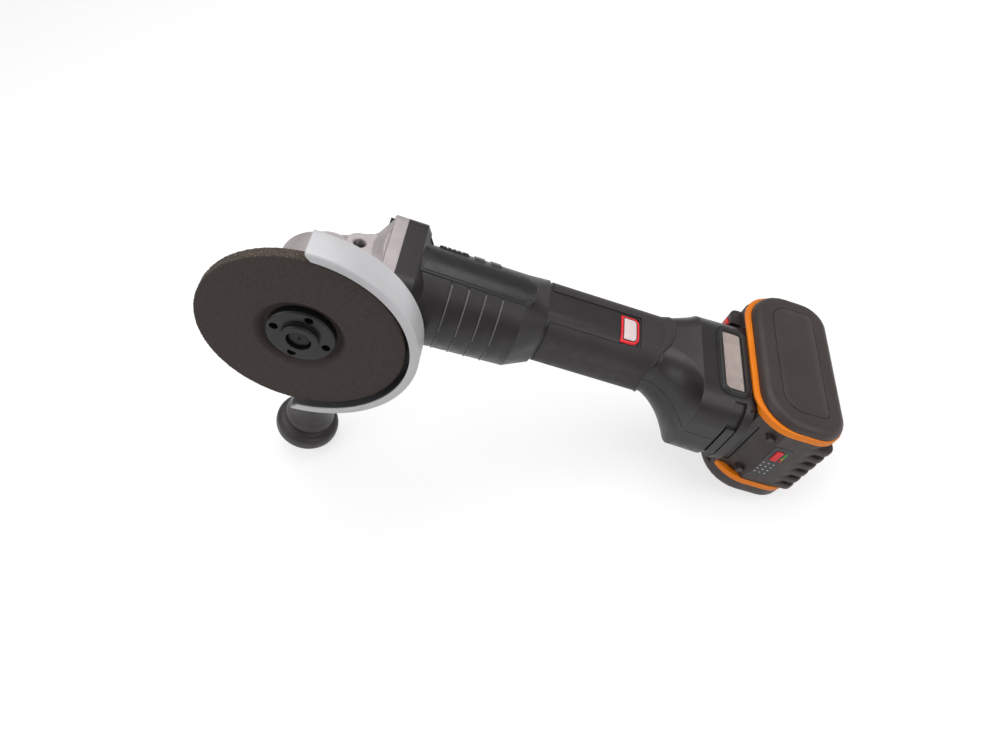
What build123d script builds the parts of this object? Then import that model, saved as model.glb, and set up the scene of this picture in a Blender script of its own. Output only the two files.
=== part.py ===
from build123d import *
import math
import os

# A cordless angle grinder for 115 mm discs.
# Every piece is drawn in millimetres with the disc up: the origin is the middle of the lock nut's face,
# +Z points out of the disc, +X runs from the gear head to the battery, and the side handle points to -Y.
# The last lines lay the whole tool on its side, resting on the handle's knob and the battery's flank.
LIE_PITCH = 25.7
LIE_DOWN = Rot(0, LIE_PITCH, 0) * Rot(90, 0, 0)
FIT = 0.05
GAP = 0.3
EDGE_BREAK = 0.8

# Axes of the machine
MOTOR_Z = -59.0
GRIP_Z = -65.8
TAIL_Z = -53.4
PACK_Z = -62.0

# Disc, its flange and its lock nut
DISC_R = 57.5
DISC_T = 6.4
DISC_FACE = -0.6
DISC_BORE_R = 11.1
DISC_DISH = 4.5
DISH_FLOOR_R = 20.6
DISH_RIM_R = 25.0
DISH_WALL = 2.5
NUT_R = 19.2
NUT_HUB_R = 10.8
NUT_HUB_TOP = 3.0
PIN_CIRCLE_R = 15.0
PIN_HOLE_R = 2.5
PIN_HOLE_DEPTH = 4.0
PIN_TURN = -11.4
FLANGE_R = 19.5
FLANGE_T = 5.0

# Spindle
SPINDLE_THREAD_R = 7.0
SPINDLE_SHOULDER_R = 9.0
SPINDLE_SEAT_R = 6.0
SPINDLE_TAIL_R = 5.0
SPINDLE_TOP = 2.0
SPINDLE_STEP = -61.0
SPINDLE_BOTTOM = -69.5

# Bevel gears, whose pitch cones meet where the two axes cross
PINION_TEETH = 11
CROWN_TEETH = 33
CROWN_PITCH_R = 19.0
PINION_PITCH_R = CROWN_PITCH_R * PINION_TEETH / CROWN_TEETH
PINION_END_X = 24.0
TOE_SCALE = 0.7
TOOTH_TIP = 0.6
TOOTH_ROOT = 1.15
TOOTH_TIP_W = 0.7
TOOTH_ROOT_W = 1.7
TOOTH_SINK = 0.4
CROWN_BACK = -44.0
CROWN_HUB_R = 10.0
CROWN_HUB_BACK = -41.0

# Gear housing, its retainer and the spindle's bearings
BARREL_R = 26.5
BARREL_BORE_R = 21.0
BARREL_MOUTH = -31.0
SHOULDER_Z = -56.0
SHOULDER_ROUND = 4.0
HEAD_TOP = -72.0
HEAD_TOP_R = 13.5
HEAD_TOP_ROUND = 6.0
CAVITY_FLOOR = -55.6
CAVITY_FLAT_R = 13.0
CAVITY_RIM = -53.3
SHAFT_BORE_R = 9.6
NECK_PROFILE = [(-2, 17.0), (8, 19.8), (20, 23.5), (26, 28.0), (30.4, 32.5)]
LUG_R = 4.2
LUG_CIRCLE_R = 23.0
LUG_DEPTH = 8.0
LUG_SCREW_R = 1.5
LUG_SCREW_L = 6.5
LUG_SEAT = 1.5
LUG_HEAD_R = 2.6
COLLAR_HALF = 30.7
COLLAR_CORNER = 9.5
COLLAR_ROUND = 1.2
COLLAR_HEAD_SINK = 1.0
COLLAR_X0 = 30.4
COLLAR_X1 = 38.6
COLLAR_SCREW_R = 2.0
COLLAR_HEAD_R = 3.6
COLLAR_HEAD_H = 3.4
COLLAR_SCREW_AT = 23.6
SOCKET_R = 2.0
SOCKET_DEPTH = 2.0
COLLAR_SCREW_END = 47.0
RETAINER_T = 3.0
NECK_R = 20.0
NECK_TOP = -17.6
BALL_R = 16.0
BALL_Z0 = -40.0
BALL_Z1 = -30.0
NEEDLE_R = 7.0
NEEDLE_Z0 = -70.5

# Spindle lock, pushed in from the head's top
LOCK_X = -13.4
LOCK_PIN_R = 2.5
LOCK_CAP_R = 5.2
LOCK_CAP_ROUND = 1.2
LOCK_WELL_FLOOR = -62.0
LOCK_CAP_END = -74.5
LOCK_PIN_END = -58.2
LOCK_TRAVEL = 2.7

# Guard
GUARD_R = 65.5
GUARD_T = 1.8
GUARD_TOP = 2.6
GUARD_PLATE_TOP = -15.0
LIP_R = 60.3
LIP_T = 1.4
LIP_BEND = 1.2
GUARD_BEND = 2.5
GUARD_RIM = 3.0
GUARD_TURN = 3.5
GUARD_HALF_ANGLE = 90.0
GUARD_RING_R = 22.6
GUARD_RING_Z0 = BARREL_MOUTH + RETAINER_T + 0.4
BAND_R = 24.6
BAND_Z0 = -27.0
BAND_Z1 = -17.4
EAR_X = -29.0
EAR_REACH = 4.0
EAR_HALF_W = 5.0
EAR_SLOT = 1.2
CLAMP_BOLT_R = 2.0
CLAMP_HEAD_R = 3.6
CLAMP_HEAD_H = 3.5
CLAMP_NUT_R = 3.7
CLAMP_NUT_H = 3.2

# Motor
SHAFT_R = 4.0
STUB_R = 2.5
SHAFT_END = 117.0
FRONT_BEARING_R = 11.0
FRONT_BEARING_X = 31.4
FRONT_BEARING_W = 7.0
REAR_BEARING_R = 9.5
REAR_BEARING_X = 110.0
REAR_BEARING_W = 6.0
STATOR_R = 24.5
STATOR_BORE_R = 14.7
STATOR_X0 = 67.0
STATOR_X1 = 103.0
COIL_L = 5.0
COIL_STEP = 2.0
ROTOR_R = 14.2
ROTOR_SLOTS = 12
ROTOR_SLOT_W = 1.2
ROTOR_SLOT_DEPTH = 2.0
FAN_R = 25.0
FAN_HUB_R = 8.0
FAN_X0 = 47.0
FAN_X1 = 58.0
FAN_DISC_T = 1.6
FAN_BLADES = 9
FAN_BLADE_T = 1.6

# Motor housing
HOUSING_R = 30.3
HOUSING_Z = -58.1
HOUSING_BORE_R = 26.3
HOUSING_REAR_R = 28.8
HOUSING_REAR_Z = -59.6
HOUSING_X0 = 38.6
HOUSING_FACET_X0 = 50.5
HOUSING_COLLAR_X1 = 57.0
HOUSING_FACET_HALF = 24.0
HOUSING_REAR_X = 116.0
HOUSING_X1 = 131.0
SEAM_STEP = 1.9
HOUSING_FRONT_WALL = 4.0
REAR_ROOM_R = 18.5
BULKHEAD_X0 = 108.5
BULKHEAD_X1 = 118.0
PANEL_X0 = 53.0
PANEL_X1 = 120.0
PANEL_Z0 = -67.6
PANEL_Z1 = -47.6
PANEL_CORNER = 6.0
PANEL_SINK = 0.8
PANEL_PROUD = 0.5
RIB_X0 = 71.0
RIB_STEP = 10.2
RIB_COUNT = 4
RIB_W = 2.0
RIB_DEPTH = 1.0

# Slide switch, set where the thumb reaches it
SWITCH_ANGLE = 41.0
SWITCH_X0 = 60.0
SWITCH_L = 18.0
SWITCH_W = 12.0
SWITCH_FLOOR = 27.6
SWITCH_TOP = 30.3
SWITCH_TRAVEL = 6.0
SWITCH_CORNER = 2.0
SWITCH_GROOVES = 4
SWITCH_GROOVE = 1.2
SWITCH_GROOVE_X = 3.9
SWITCH_GROOVE_STEP = 3.0
STEM_X0 = 68.0
STEM_X1 = 76.0
STEM_HALF_W = 1.9
ROD_HALF_W = 2.6
ROD_R0 = 24.8
ROD_R1 = 25.8
ROD_END = 120.0
FINGER_R0 = 15.5
FINGER_T = 2.5
MODULE_X0 = 121.5
MODULE_X1 = 146.0
MODULE_Y = 6.8
MODULE_HALF_W = 5.8
MODULE_Z = -70.0
MODULE_HALF_H = 6.0
MODULE_TAB = 2.0

# Rear grip and tail
GRIP_HALF_W = 20.0
GRIP_HALF_H = 22.5
GRIP_CORNER = 14.0
GRIP_WALL = 2.5
GRIP_X0 = 131.0
FLARE_X0 = 207.0
WAIST_X = 219.0
WAIST_HALF_W = 24.2
WAIST_HALF_H = 28.5
WAIST_CORNER = 17.0
WAIST_Z = -62.4
FLARE_X1 = 228.0
TAIL_X1 = 262.0
TAIL_HALF_W = 29.5
TAIL_HALF_H = 41.2
TAIL_CORNER = 20.0
TAIL_TAPER = 1.0
TAIL_WALL = 3.0
TAIL_WALL_HALF_W = 26.0
TAIL_WALL_HALF_H = 34.0
LATCH_X0 = 248.5
LATCH_X1 = 256.0
LATCH_Z = -23.5
LATCH_DEPTH = 2.2
LATCH_BAR_X0 = 249.5
LATCH_BAR_X1 = 255.0
LATCH_BAR_Y = 13.0
SOFT_T = 0.8
SOFT_X0 = 136.0
SOFT_X1 = 201.0
SOFT_Z1 = GRIP_Z - 4.0
BADGE_X0 = 178.0
BADGE_X1 = 190.0
BADGE_Z0 = -71.5
BADGE_Z1 = -50.0
BADGE_SINK = 1.0
BADGE_PROUD = 0.4
SHELL_SCREW_PLACES = [(156, -76), (198, -76), (212, -50), (236, -84)]
SHELL_SCREW_R = 1.6
SHELL_HEAD_R = 2.9
SHELL_HEAD_Y = 13.0
SHELL_HEAD_H = 2.2
SHELL_SCREW_END = 9.0
POST_R = 3.8
FILTER_X0 = 240.5
FILTER_X1 = 256.0
FILTER_Z0 = -77.0
FILTER_Z1 = -28.5
FILTER_FRAME = 1.2
FILTER_FLANGE = 1.6
FILTER_Y0 = 25.0
FILTER_Y1 = 30.2
MESH_Y0 = 26.6
MESH_T = 1.2

# Control board in the tail
BOARD_X0 = 216.0
BOARD_X1 = 250.0
BOARD_HALF_W = 18.0
BOARD_Z = -58.4
BOARD_T = 1.6
COOLER_X0 = 222.0
COOLER_X1 = 234.0
COOLER_HALF_W = 12.0
COOLER_H = 8.4

# Battery pack and the rails it slides on
PACK_X0 = 258.5
PACK_X1 = 316.0
PACK_HALF_H = 54.8
PACK_HALF_W = 38.0
PACK_CORNER = 18.0
PACK_NOSE_CORNER = 25.0
BAND_Y0 = 27.0
BAND_Y1 = 31.0
BAND_LIP_Y = 30.3
CAP_INSET = 1.5
CAP_ROUND = 6.5
CASE_X0 = 262.6
CASE_INSET = 1.0
CASE_NOSE_CORNER = 20.0
CASE_WALL = 2.5
CASE_FRONT_WALL = 9.5
CASE_TOP = PACK_Z + PACK_HALF_H - CASE_INSET
CASE_BOTTOM = PACK_Z - PACK_HALF_H + CASE_INSET
BULGE_X0 = 256.0
BULGE_HALF_W = 18.5
BULGE_Z0 = -110.5
BULGE_Z1 = -97.5
BULGE_ROUND = 6.0
VALLEY_X = 264.0
VALLEY_Z = 2.0
VALLEY_R = 19.0
KNOB_X = 275.5
KNOB_Y = 17.3
KNOB_R = 2.2
KNOB_FOOT = -15.5
KNOB_TOP = -9.4
FINGER_RIBS = 6
FINGER_RIB_STEP = 8.0
FINGER_RIB_W = 4.6
FINGER_RIB_X0 = 297.5
FINGER_RIB_X1 = 315.6
FINGER_RIB_DROP = 22.0
FINGER_RIB_ROUND = 7.0
FINGER_RIB_EDGE = 1.2
RAIL_HALF_W = 18.0
RAIL_NECK_HALF_W = 14.0
RAIL_NECK_X1 = 266.0
RAIL_X1 = 268.5
RAIL_Z0 = -84.0
RAIL_Z1 = -28.0
RAIL_GAP = 0.4
PLUG_HALF_W = 9.0
PLUG_Z0 = -80.0
PLUG_Z1 = -40.0
PLUG_BASE = 1.5
BLADE_T = 0.8
BLADE_PITCH = 6.0
BLADE_REACH = 6.0
CELL_R = 9.1
CELL_L = 60.0
CELL_PITCH = 18.5
CELL_X0 = 282.0
GAUGE_X0 = 280.5
GAUGE_X1 = 292.5
GAUGE_HALF_Y = 15.5
GAUGE_DEPTH = 1.2
GAUGE_BUTTON_X = 286.0
GAUGE_BUTTON_Y = 7.2
GAUGE_BUTTON_HALF_X = 2.2
GAUGE_BUTTON_HALF_Y = 4.6
GAUGE_BUTTON_SINK = 0.2
GAUGE_BUTTON_PROUD = 0.8
GAUGE_PROUD = 0.2
RELEASE_HALF_Y = 16.0
RELEASE_Z0 = -104.5
RELEASE_Z1 = -98.5
RELEASE_DEPTH = 4.5
RELEASE_PROUD = 1.0
RELEASE_TRAVEL = 2.4

# Side handle, canted a little towards the front
HANDLE_X = 16.5
HANDLE_Z = -58.0
HANDLE_CANT = 2.6
HANDLE_BOSS_R = 7.6
HANDLE_BOSS_START = 5.0
CHEEK_OUTLINE = [(15.4, -65.5), (23.2, -68.6), (30.4, -80.0), (30.4, -38.0), (23.2, -47.4), (15.4, -50.5)]
CHEEK_PLAN = [(6.0, 5.0), (6.0, 24.55), (23.6, 25.35), (30.4, 30.2), (30.4, 5.0)]
CHEEK_REACH = 40.0
CHEEK_BOTTOM = -100.0
CHEEK_H = 80.0
SPOT_FACE_R = 8.0
HANDLE_FACE = 25.0
HANDLE_HOLE_DEPTH = 12.5
HANDLE_HOLE_TIP = 2.0
HANDLE_HOLE_BREAK = 0.8
M8_TAP_R = 3.4
M8_R = 4.0
STUD_COLLAR_R = 7.6
STUD_COLLAR_T = 5.0
STUD_END = 62.0
HANDLE_PROFILE = [(0.0, 30.0), (11.0, 30.0), (17.5, 33.0), (18.5, 36.0), (15.5, 44.0), (14.5, 60.0),
                  (16.5, 95.0), (15.5, 125.0), (14.0, 144.0), (15.0, 151.0), (18.5, 157.0), (21.8, 160.0),
                  (22.5, 161.5), (22.5, 167.5), (21.0, 171.0), (15.0, 174.6), (0.0, 176.0)]
HANDLE_GROOVES = 7
HANDLE_GROOVE_Y0 = 64.0
HANDLE_GROOVE_STEP = 9.5
HANDLE_GROOVE_R = 13.8
HANDLE_GROOVE_W = 1.6


# Shared shapes
def z_bar(radius, z0, z1, x=0.0, y=0.0):
    """Round bar along Z between two heights."""
    return Pos(x, y, (z0 + z1) / 2) * Cylinder(radius, abs(z1 - z0))


def x_bar(radius, x0, x1, y=0.0, z=MOTOR_Z):
    """Round bar along X between two stations."""
    return Pos((x0 + x1) / 2, y, z) * Rot(0, 90, 0) * Cylinder(radius, abs(x1 - x0))


def y_bar(radius, y0, y1, x=0.0, z=0.0):
    """Round bar along Y between two stations."""
    return Pos(x, (y0 + y1) / 2, z) * Rot(90, 0, 0) * Cylinder(radius, abs(y1 - y0))


def block(x0, x1, y0, y1, z0, z1):
    """Box between two corners."""
    centre = Pos((x0 + x1) / 2, (y0 + y1) / 2, (z0 + z1) / 2)
    return centre * Box(abs(x1 - x0), abs(y1 - y0), abs(z1 - z0))


def z_turned(points, angle=360):
    """Solid turned about Z from an outline of (radius, height) points."""
    outline = Polyline([(r, 0, z) for r, z in points], close=True)
    return revolve(make_face(outline), Axis.Z, angle)


def x_turned(points):
    """Solid turned about the motor axis from (station, radius) points."""
    outline = Polyline([(x, 0, MOTOR_Z + r) for x, r in points], close=True)
    return revolve(make_face(outline), Axis((0, 0, MOTOR_Z), (1, 0, 0)), 360)


def x_section(x, half_y, half_z, corner, z):
    """Rounded rectangle standing across X."""
    plane = Plane(origin=(x, 0, z), x_dir=(0, 1, 0), z_dir=(1, 0, 0))
    return plane * RectangleRounded(2 * half_y, 2 * half_z, corner)


def round_section(x, radius, z):
    """Circle standing across X, with the same four corners as the rounded rectangles."""
    return x_section(x, radius, radius, radius - 0.01, z)


def around_motor(shape, angle):
    """Shape drawn about the X axis, moved to the motor axis and turned from +Y towards -Z."""
    return Pos(0, 0, MOTOR_Z) * Rot(-angle, 0, 0) * shape


def tooth(heel):
    """Straight bevel tooth from a four-cornered heel that shrinks towards the crossing of the axes."""
    toe = [(x * TOE_SCALE, y * TOE_SCALE, MOTOR_Z + (z - MOTOR_Z) * TOE_SCALE) for x, y, z in heel]
    faces = [make_face(Polyline(corners, close=True)) for corners in (heel, toe)]
    return loft(faces, ruled=True)


def tooth_heel(root_z, tip_z):
    """Four corners of a tooth's larger end."""
    root = TOOTH_ROOT_W / 2
    tip = TOOTH_TIP_W / 2
    corners = [(-root, root_z), (root, root_z), (tip, tip_z), (-tip, tip_z)]
    return [(CROWN_PITCH_R, y, z) for y, z in corners]


def on_handle_axis(shape, side):
    """Shape drawn along +Y from the origin, moved to the handle axis of one side."""
    turn = Rot(0, 0, HANDLE_CANT) if side > 0 else Rot(0, 0, 180 - HANDLE_CANT)
    return Pos(HANDLE_X, 0, HANDLE_Z) * turn * shape


# Spindle group
def make_spindle():
    seat = DISC_FACE - DISC_DISH - DISC_T - FLANGE_T
    shape = z_bar(SPINDLE_THREAD_R, seat, SPINDLE_TOP)
    shape += z_bar(SPINDLE_SHOULDER_R, BALL_Z1, seat)
    shape += z_bar(SPINDLE_SEAT_R, SPINDLE_STEP, BALL_Z1)
    shape += z_bar(SPINDLE_TAIL_R, SPINDLE_BOTTOM, SPINDLE_STEP)
    return chamfer(shape.edges().group_by(Axis.Z)[-1], EDGE_BREAK)


def make_crown_gear():
    root_z = MOTOR_Z + PINION_PITCH_R + TOOTH_ROOT
    tip_z = MOTOR_Z + PINION_PITCH_R - TOOTH_TIP
    toe_z = MOTOR_Z + (root_z - MOTOR_Z) * TOE_SCALE
    rim_r = CROWN_PITCH_R + 1.0
    blank = z_turned([(SPINDLE_SEAT_R, toe_z), (CROWN_PITCH_R * TOE_SCALE, toe_z), (CROWN_PITCH_R, root_z),
                      (rim_r, root_z), (rim_r, CROWN_BACK), (CROWN_HUB_R, CROWN_BACK),
                      (CROWN_HUB_R, CROWN_HUB_BACK), (SPINDLE_SEAT_R, CROWN_HUB_BACK)])
    one = tooth(tooth_heel(root_z + TOOTH_SINK, tip_z))
    step = 360 / CROWN_TEETH
    return blank + [Rot(0, 0, (k + 0.5) * step) * one for k in range(CROWN_TEETH)]


def make_inner_flange():
    seat = DISC_FACE - DISC_DISH - DISC_T
    shape = z_bar(FLANGE_R, seat - FLANGE_T, seat)
    shape = chamfer(shape.edges().group_by(Axis.Z)[0], EDGE_BREAK)
    shape += z_bar(DISC_BORE_R - FIT, seat, seat + DISC_T / 2)
    return shape - z_bar(SPINDLE_THREAD_R, seat - FLANGE_T - 1, 0)


def make_disc():
    floor = DISC_FACE - DISC_DISH
    back = DISC_FACE - DISC_T
    return z_turned([(DISC_BORE_R, floor), (DISH_FLOOR_R, floor), (DISH_RIM_R, DISC_FACE),
                     (DISC_R, DISC_FACE), (DISC_R, back), (DISH_RIM_R + DISH_WALL, back),
                     (DISH_FLOOR_R + DISH_WALL, floor - DISC_T), (DISC_BORE_R, floor - DISC_T)])


def make_lock_nut():
    shape = z_bar(NUT_R, DISC_FACE - DISC_DISH, 0)
    shape = chamfer(shape.edges().group_by(Axis.Z)[-1], EDGE_BREAK)
    hub = chamfer(z_bar(NUT_HUB_R, -1.0, NUT_HUB_TOP).edges().group_by(Axis.Z)[-1], EDGE_BREAK)
    shape += hub
    for k in range(4):
        shape -= Rot(0, 0, PIN_TURN + 90 * k) * z_bar(PIN_HOLE_R, -PIN_HOLE_DEPTH, 1, PIN_CIRCLE_R)
    return shape - z_bar(SPINDLE_THREAD_R, -10, 10)


# Gear head
def lug_places():
    return [Rot(0, 0, 45 + 90 * k) for k in range(4)]


def collar_corners():
    return [(sy * COLLAR_SCREW_AT, MOTOR_Z + sz * COLLAR_SCREW_AT) for sy in (-1, 1) for sz in (-1, 1)]


def collar_bar(x0, x1):
    """Square bar with rounded corners where the gear head meets the motor housing."""
    return extrude(x_section(x0, COLLAR_HALF, COLLAR_HALF, COLLAR_CORNER, MOTOR_Z), amount=x1 - x0)


def head_barrel():
    """Upright barrel of the gear head, which narrows to a flat top."""
    shape = z_turned([(0, HEAD_TOP), (HEAD_TOP_R, HEAD_TOP), (BARREL_R, SHOULDER_Z),
                      (BARREL_R, BARREL_MOUTH), (0, BARREL_MOUTH)])
    shape = fillet(shape.edges().filter_by(GeomType.CIRCLE).sort_by(Axis.Z)[0], HEAD_TOP_ROUND)
    rings = shape.edges().filter_by(GeomType.CIRCLE)
    widest = rings.filter_by(lambda ring: abs(ring.radius - BARREL_R) < 0.01)
    return fillet(widest.sort_by(Axis.Z)[0], SHOULDER_ROUND)


def handle_cheek(side):
    """Web that carries a handle boss's flat face on to the square flange."""
    wall = make_face(Polyline([(x, 0, z) for x, z in CHEEK_OUTLINE], close=True))
    plan = make_face(Polyline([(x, side * y, CHEEK_BOTTOM) for x, y in CHEEK_PLAN], close=True))
    web = extrude(wall, amount=CHEEK_REACH, dir=(0, side, 0))
    return web & extrude(plan, amount=CHEEK_H, dir=(0, 0, 1))


def handle_bore(side):
    """Tapped hole with a drill point and a broken edge."""
    floor = HANDLE_FACE - HANDLE_HOLE_DEPTH
    lip = M8_TAP_R + HANDLE_HOLE_BREAK
    outline = [(0, floor - HANDLE_HOLE_TIP), (M8_TAP_R, floor), (M8_TAP_R, HANDLE_FACE - HANDLE_HOLE_BREAK),
               (lip, HANDLE_FACE), (lip, HANDLE_FACE + 1), (0, HANDLE_FACE + 1)]
    face = make_face(Polyline([(r, y, 0) for r, y in outline], close=True))
    return on_handle_axis(revolve(face, Axis.Y, 360), side)


def gear_housing_outside():
    shape = head_barrel()
    for place in lug_places():
        shape += place * z_bar(LUG_R, BARREL_MOUTH - LUG_DEPTH, BARREL_MOUTH, LUG_CIRCLE_R)
    first = NECK_PROFILE[0][0]
    last = NECK_PROFILE[-1][0]
    neck = x_turned([(first, 0)] + NECK_PROFILE + [(last, 0)])
    half = COLLAR_HALF
    shape += neck & block(first, last, -half, half, MOTOR_Z - half, MOTOR_Z + half)
    collar = collar_bar(COLLAR_X0, COLLAR_X1)
    shape += fillet(collar.edges().group_by(Axis.X)[0], COLLAR_ROUND)
    for side in (-1, 1):
        shape += on_handle_axis(y_bar(HANDLE_BOSS_R, HANDLE_BOSS_START, HANDLE_FACE), side)
        shape += handle_cheek(side)
    return shape


def make_gear_housing():
    shape = gear_housing_outside()
    top = BARREL_MOUTH + 1
    shape -= z_turned([(0, CAVITY_FLOOR), (CAVITY_FLAT_R, CAVITY_FLOOR), (BARREL_BORE_R, CAVITY_RIM),
                       (BARREL_BORE_R, top), (0, top)])
    shape -= z_bar(NEEDLE_R, NEEDLE_Z0, CAVITY_FLOOR + 1)
    shape -= x_bar(SHAFT_BORE_R, 0, COLLAR_X1 + 1)
    shape -= x_bar(FRONT_BEARING_R, FRONT_BEARING_X, COLLAR_X1 + 1)
    for side in (-1, 1):
        shape -= on_handle_axis(y_bar(SPOT_FACE_R, HANDLE_FACE, HANDLE_FACE + 10), side)
        shape -= handle_bore(side)
    shape -= z_bar(LOCK_PIN_R + FIT, HEAD_TOP - 1, CAVITY_RIM, LOCK_X)
    shape -= z_bar(LOCK_CAP_R + GAP, HEAD_TOP - 1, LOCK_WELL_FLOOR, LOCK_X)
    for y, z in collar_corners():
        shape -= x_bar(COLLAR_SCREW_R, COLLAR_X0 - 1, COLLAR_X1 + 1, y, z)
        shape -= x_bar(COLLAR_HEAD_R + GAP, COLLAR_X0 - 12, COLLAR_X0 + COLLAR_HEAD_SINK, y, z)
    for place in lug_places():
        shape -= place * z_bar(LUG_SCREW_R, BARREL_MOUTH - LUG_SCREW_L - GAP, BARREL_MOUTH + 1, LUG_CIRCLE_R)
    return shape


def make_gear_housing_screws():
    screws = []
    for y, z in collar_corners():
        seat = COLLAR_X0 + COLLAR_HEAD_SINK
        top = seat - COLLAR_HEAD_H
        socket = Plane(origin=(top, y, z), x_dir=(0, 1, 0), z_dir=(1, 0, 0)) * RegularPolygon(SOCKET_R, 6)
        head = x_bar(COLLAR_HEAD_R, top, seat, y, z) - extrude(socket, amount=SOCKET_DEPTH)
        screws.append(head + x_bar(COLLAR_SCREW_R, seat, COLLAR_SCREW_END, y, z))
    return Compound(children=screws)


def make_bearing_retainer():
    shape = z_bar(BARREL_R, BARREL_MOUTH, BARREL_MOUTH + RETAINER_T)
    for place in lug_places():
        shape += place * z_bar(LUG_R, BARREL_MOUTH, BARREL_MOUTH + RETAINER_T, LUG_CIRCLE_R)
    shape += z_bar(BARREL_BORE_R - FIT, BALL_Z0, BARREL_MOUTH)
    shape += z_bar(NECK_R, BARREL_MOUTH, NECK_TOP)
    shape -= z_bar(BALL_R, BALL_Z0 - 1, BALL_Z1)
    shape -= z_bar(SPINDLE_SHOULDER_R + GAP, BALL_Z0 - 1, NECK_TOP + 1)
    for place in lug_places():
        shape -= place * z_bar(LUG_SCREW_R, BARREL_MOUTH - 20, BARREL_MOUTH + 5, LUG_CIRCLE_R)
        seat = BARREL_MOUTH + LUG_SEAT
        shape -= place * z_bar(LUG_HEAD_R + GAP, seat, seat + 20, LUG_CIRCLE_R)
    return shape


def make_retainer_screws():
    seat = BARREL_MOUTH + LUG_SEAT
    one = z_bar(LUG_SCREW_R, BARREL_MOUTH - LUG_SCREW_L, seat, LUG_CIRCLE_R)
    one += z_bar(LUG_HEAD_R, seat, BARREL_MOUTH + RETAINER_T, LUG_CIRCLE_R)
    return Compound(children=[place * one for place in lug_places()])


def make_spindle_bearing():
    return z_bar(BALL_R, BALL_Z0, BALL_Z1) - z_bar(SPINDLE_SEAT_R + FIT, BALL_Z0 - 1, BALL_Z1 + 1)


def make_needle_bearing():
    shape = z_bar(NEEDLE_R, NEEDLE_Z0, SPINDLE_STEP - GAP)
    return shape - z_bar(SPINDLE_TAIL_R + FIT, SPINDLE_BOTTOM - GAP, SPINDLE_STEP + 1)


def make_lock_button():
    neck = LOCK_WELL_FLOOR - LOCK_TRAVEL - GAP
    cap = z_bar(LOCK_CAP_R, LOCK_CAP_END, neck, LOCK_X)
    cap = fillet(cap.edges().group_by(Axis.Z)[0], LOCK_CAP_ROUND)
    return cap + z_bar(LOCK_PIN_R, neck, LOCK_PIN_END, LOCK_X)


# Guard
def make_guard_shell():
    inner = GUARD_R - GUARD_T
    low = GUARD_PLATE_TOP - GUARD_T
    outline = [(GUARD_RING_R, low), (GUARD_R - GUARD_BEND, low), (GUARD_R, low + GUARD_BEND),
               (GUARD_R, GUARD_TOP - LIP_BEND), (GUARD_R - LIP_BEND, GUARD_TOP), (LIP_R, GUARD_TOP),
               (LIP_R, GUARD_TOP - LIP_T), (inner, GUARD_TOP - LIP_T), (inner, GUARD_PLATE_TOP),
               (GUARD_RING_R, GUARD_PLATE_TOP)]
    cover = Rot(0, 0, GUARD_TURN - GUARD_HALF_ANGLE) * z_turned(outline, 2 * GUARD_HALF_ANGLE)
    bore = NECK_R + GAP
    rim = GUARD_RING_R + GUARD_RIM
    ring = z_turned([(bore, GUARD_RING_Z0), (GUARD_RING_R, GUARD_RING_Z0), (GUARD_RING_R, low), (rim, low),
                     (rim, GUARD_PLATE_TOP), (bore, GUARD_PLATE_TOP)])
    return cover + ring


def make_guard_clamp():
    shape = z_bar(BAND_R, BAND_Z0, BAND_Z1)
    shape += block(EAR_X - EAR_REACH, -BAND_R + 1, -EAR_HALF_W, EAR_HALF_W, BAND_Z0, BAND_Z1)
    shape -= z_bar(GUARD_RING_R, BAND_Z0 - 1, BAND_Z1 + 1)
    shape -= block(EAR_X - EAR_REACH - 1, 0, -EAR_SLOT, EAR_SLOT, BAND_Z0 - 1, BAND_Z1 + 1)
    shape -= y_bar(CLAMP_BOLT_R, -EAR_HALF_W - 1, EAR_HALF_W + 1, EAR_X, (BAND_Z0 + BAND_Z1) / 2)
    return Rot(0, 0, GUARD_TURN) * shape


def make_guard_clamp_screw():
    middle = (BAND_Z0 + BAND_Z1) / 2
    nut_plane = Plane(origin=(EAR_X, -EAR_HALF_W, middle), x_dir=(1, 0, 0), z_dir=(0, -1, 0))
    shape = y_bar(CLAMP_BOLT_R, -EAR_HALF_W - CLAMP_NUT_H - 1, EAR_HALF_W, EAR_X, middle)
    shape += y_bar(CLAMP_HEAD_R, EAR_HALF_W, EAR_HALF_W + CLAMP_HEAD_H, EAR_X, middle)
    shape += extrude(nut_plane * RegularPolygon(CLAMP_NUT_R, 6), amount=CLAMP_NUT_H)
    return Rot(0, 0, GUARD_TURN) * shape


# Motor
def make_pinion():
    root_r = PINION_PITCH_R - TOOTH_ROOT
    toe_x = CROWN_PITCH_R * TOE_SCALE
    blank = x_turned([(toe_x, 0), (toe_x, root_r * TOE_SCALE), (CROWN_PITCH_R, root_r),
                      (PINION_END_X, root_r), (PINION_END_X, 0)])
    one = tooth(tooth_heel(root_r - TOOTH_SINK + MOTOR_Z, PINION_PITCH_R + TOOTH_TIP + MOTOR_Z))
    drawn = Pos(0, 0, -MOTOR_Z) * one
    step = 360 / PINION_TEETH
    teeth = [around_motor(drawn, k * step) for k in range(PINION_TEETH)]
    return blank + teeth - x_bar(STUB_R, 0, PINION_END_X + 1)


def make_motor_shaft():
    shape = x_bar(STUB_R, CROWN_PITCH_R * TOE_SCALE, PINION_END_X) + x_bar(SHAFT_R, PINION_END_X, SHAFT_END)
    return chamfer(shape.edges().group_by(Axis.X)[-1], 0.5)


def make_rotor_core():
    shape = x_bar(ROTOR_R, STATOR_X0 + 1, STATOR_X1 - 1) - x_bar(SHAFT_R, 0, SHAFT_END)
    half = ROTOR_SLOT_W / 2
    slot = block(STATOR_X0, STATOR_X1, -half, half, ROTOR_R - ROTOR_SLOT_DEPTH, ROTOR_R + 1)
    for k in range(ROTOR_SLOTS):
        shape -= around_motor(slot, 360 / ROTOR_SLOTS * k)
    return shape


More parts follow.
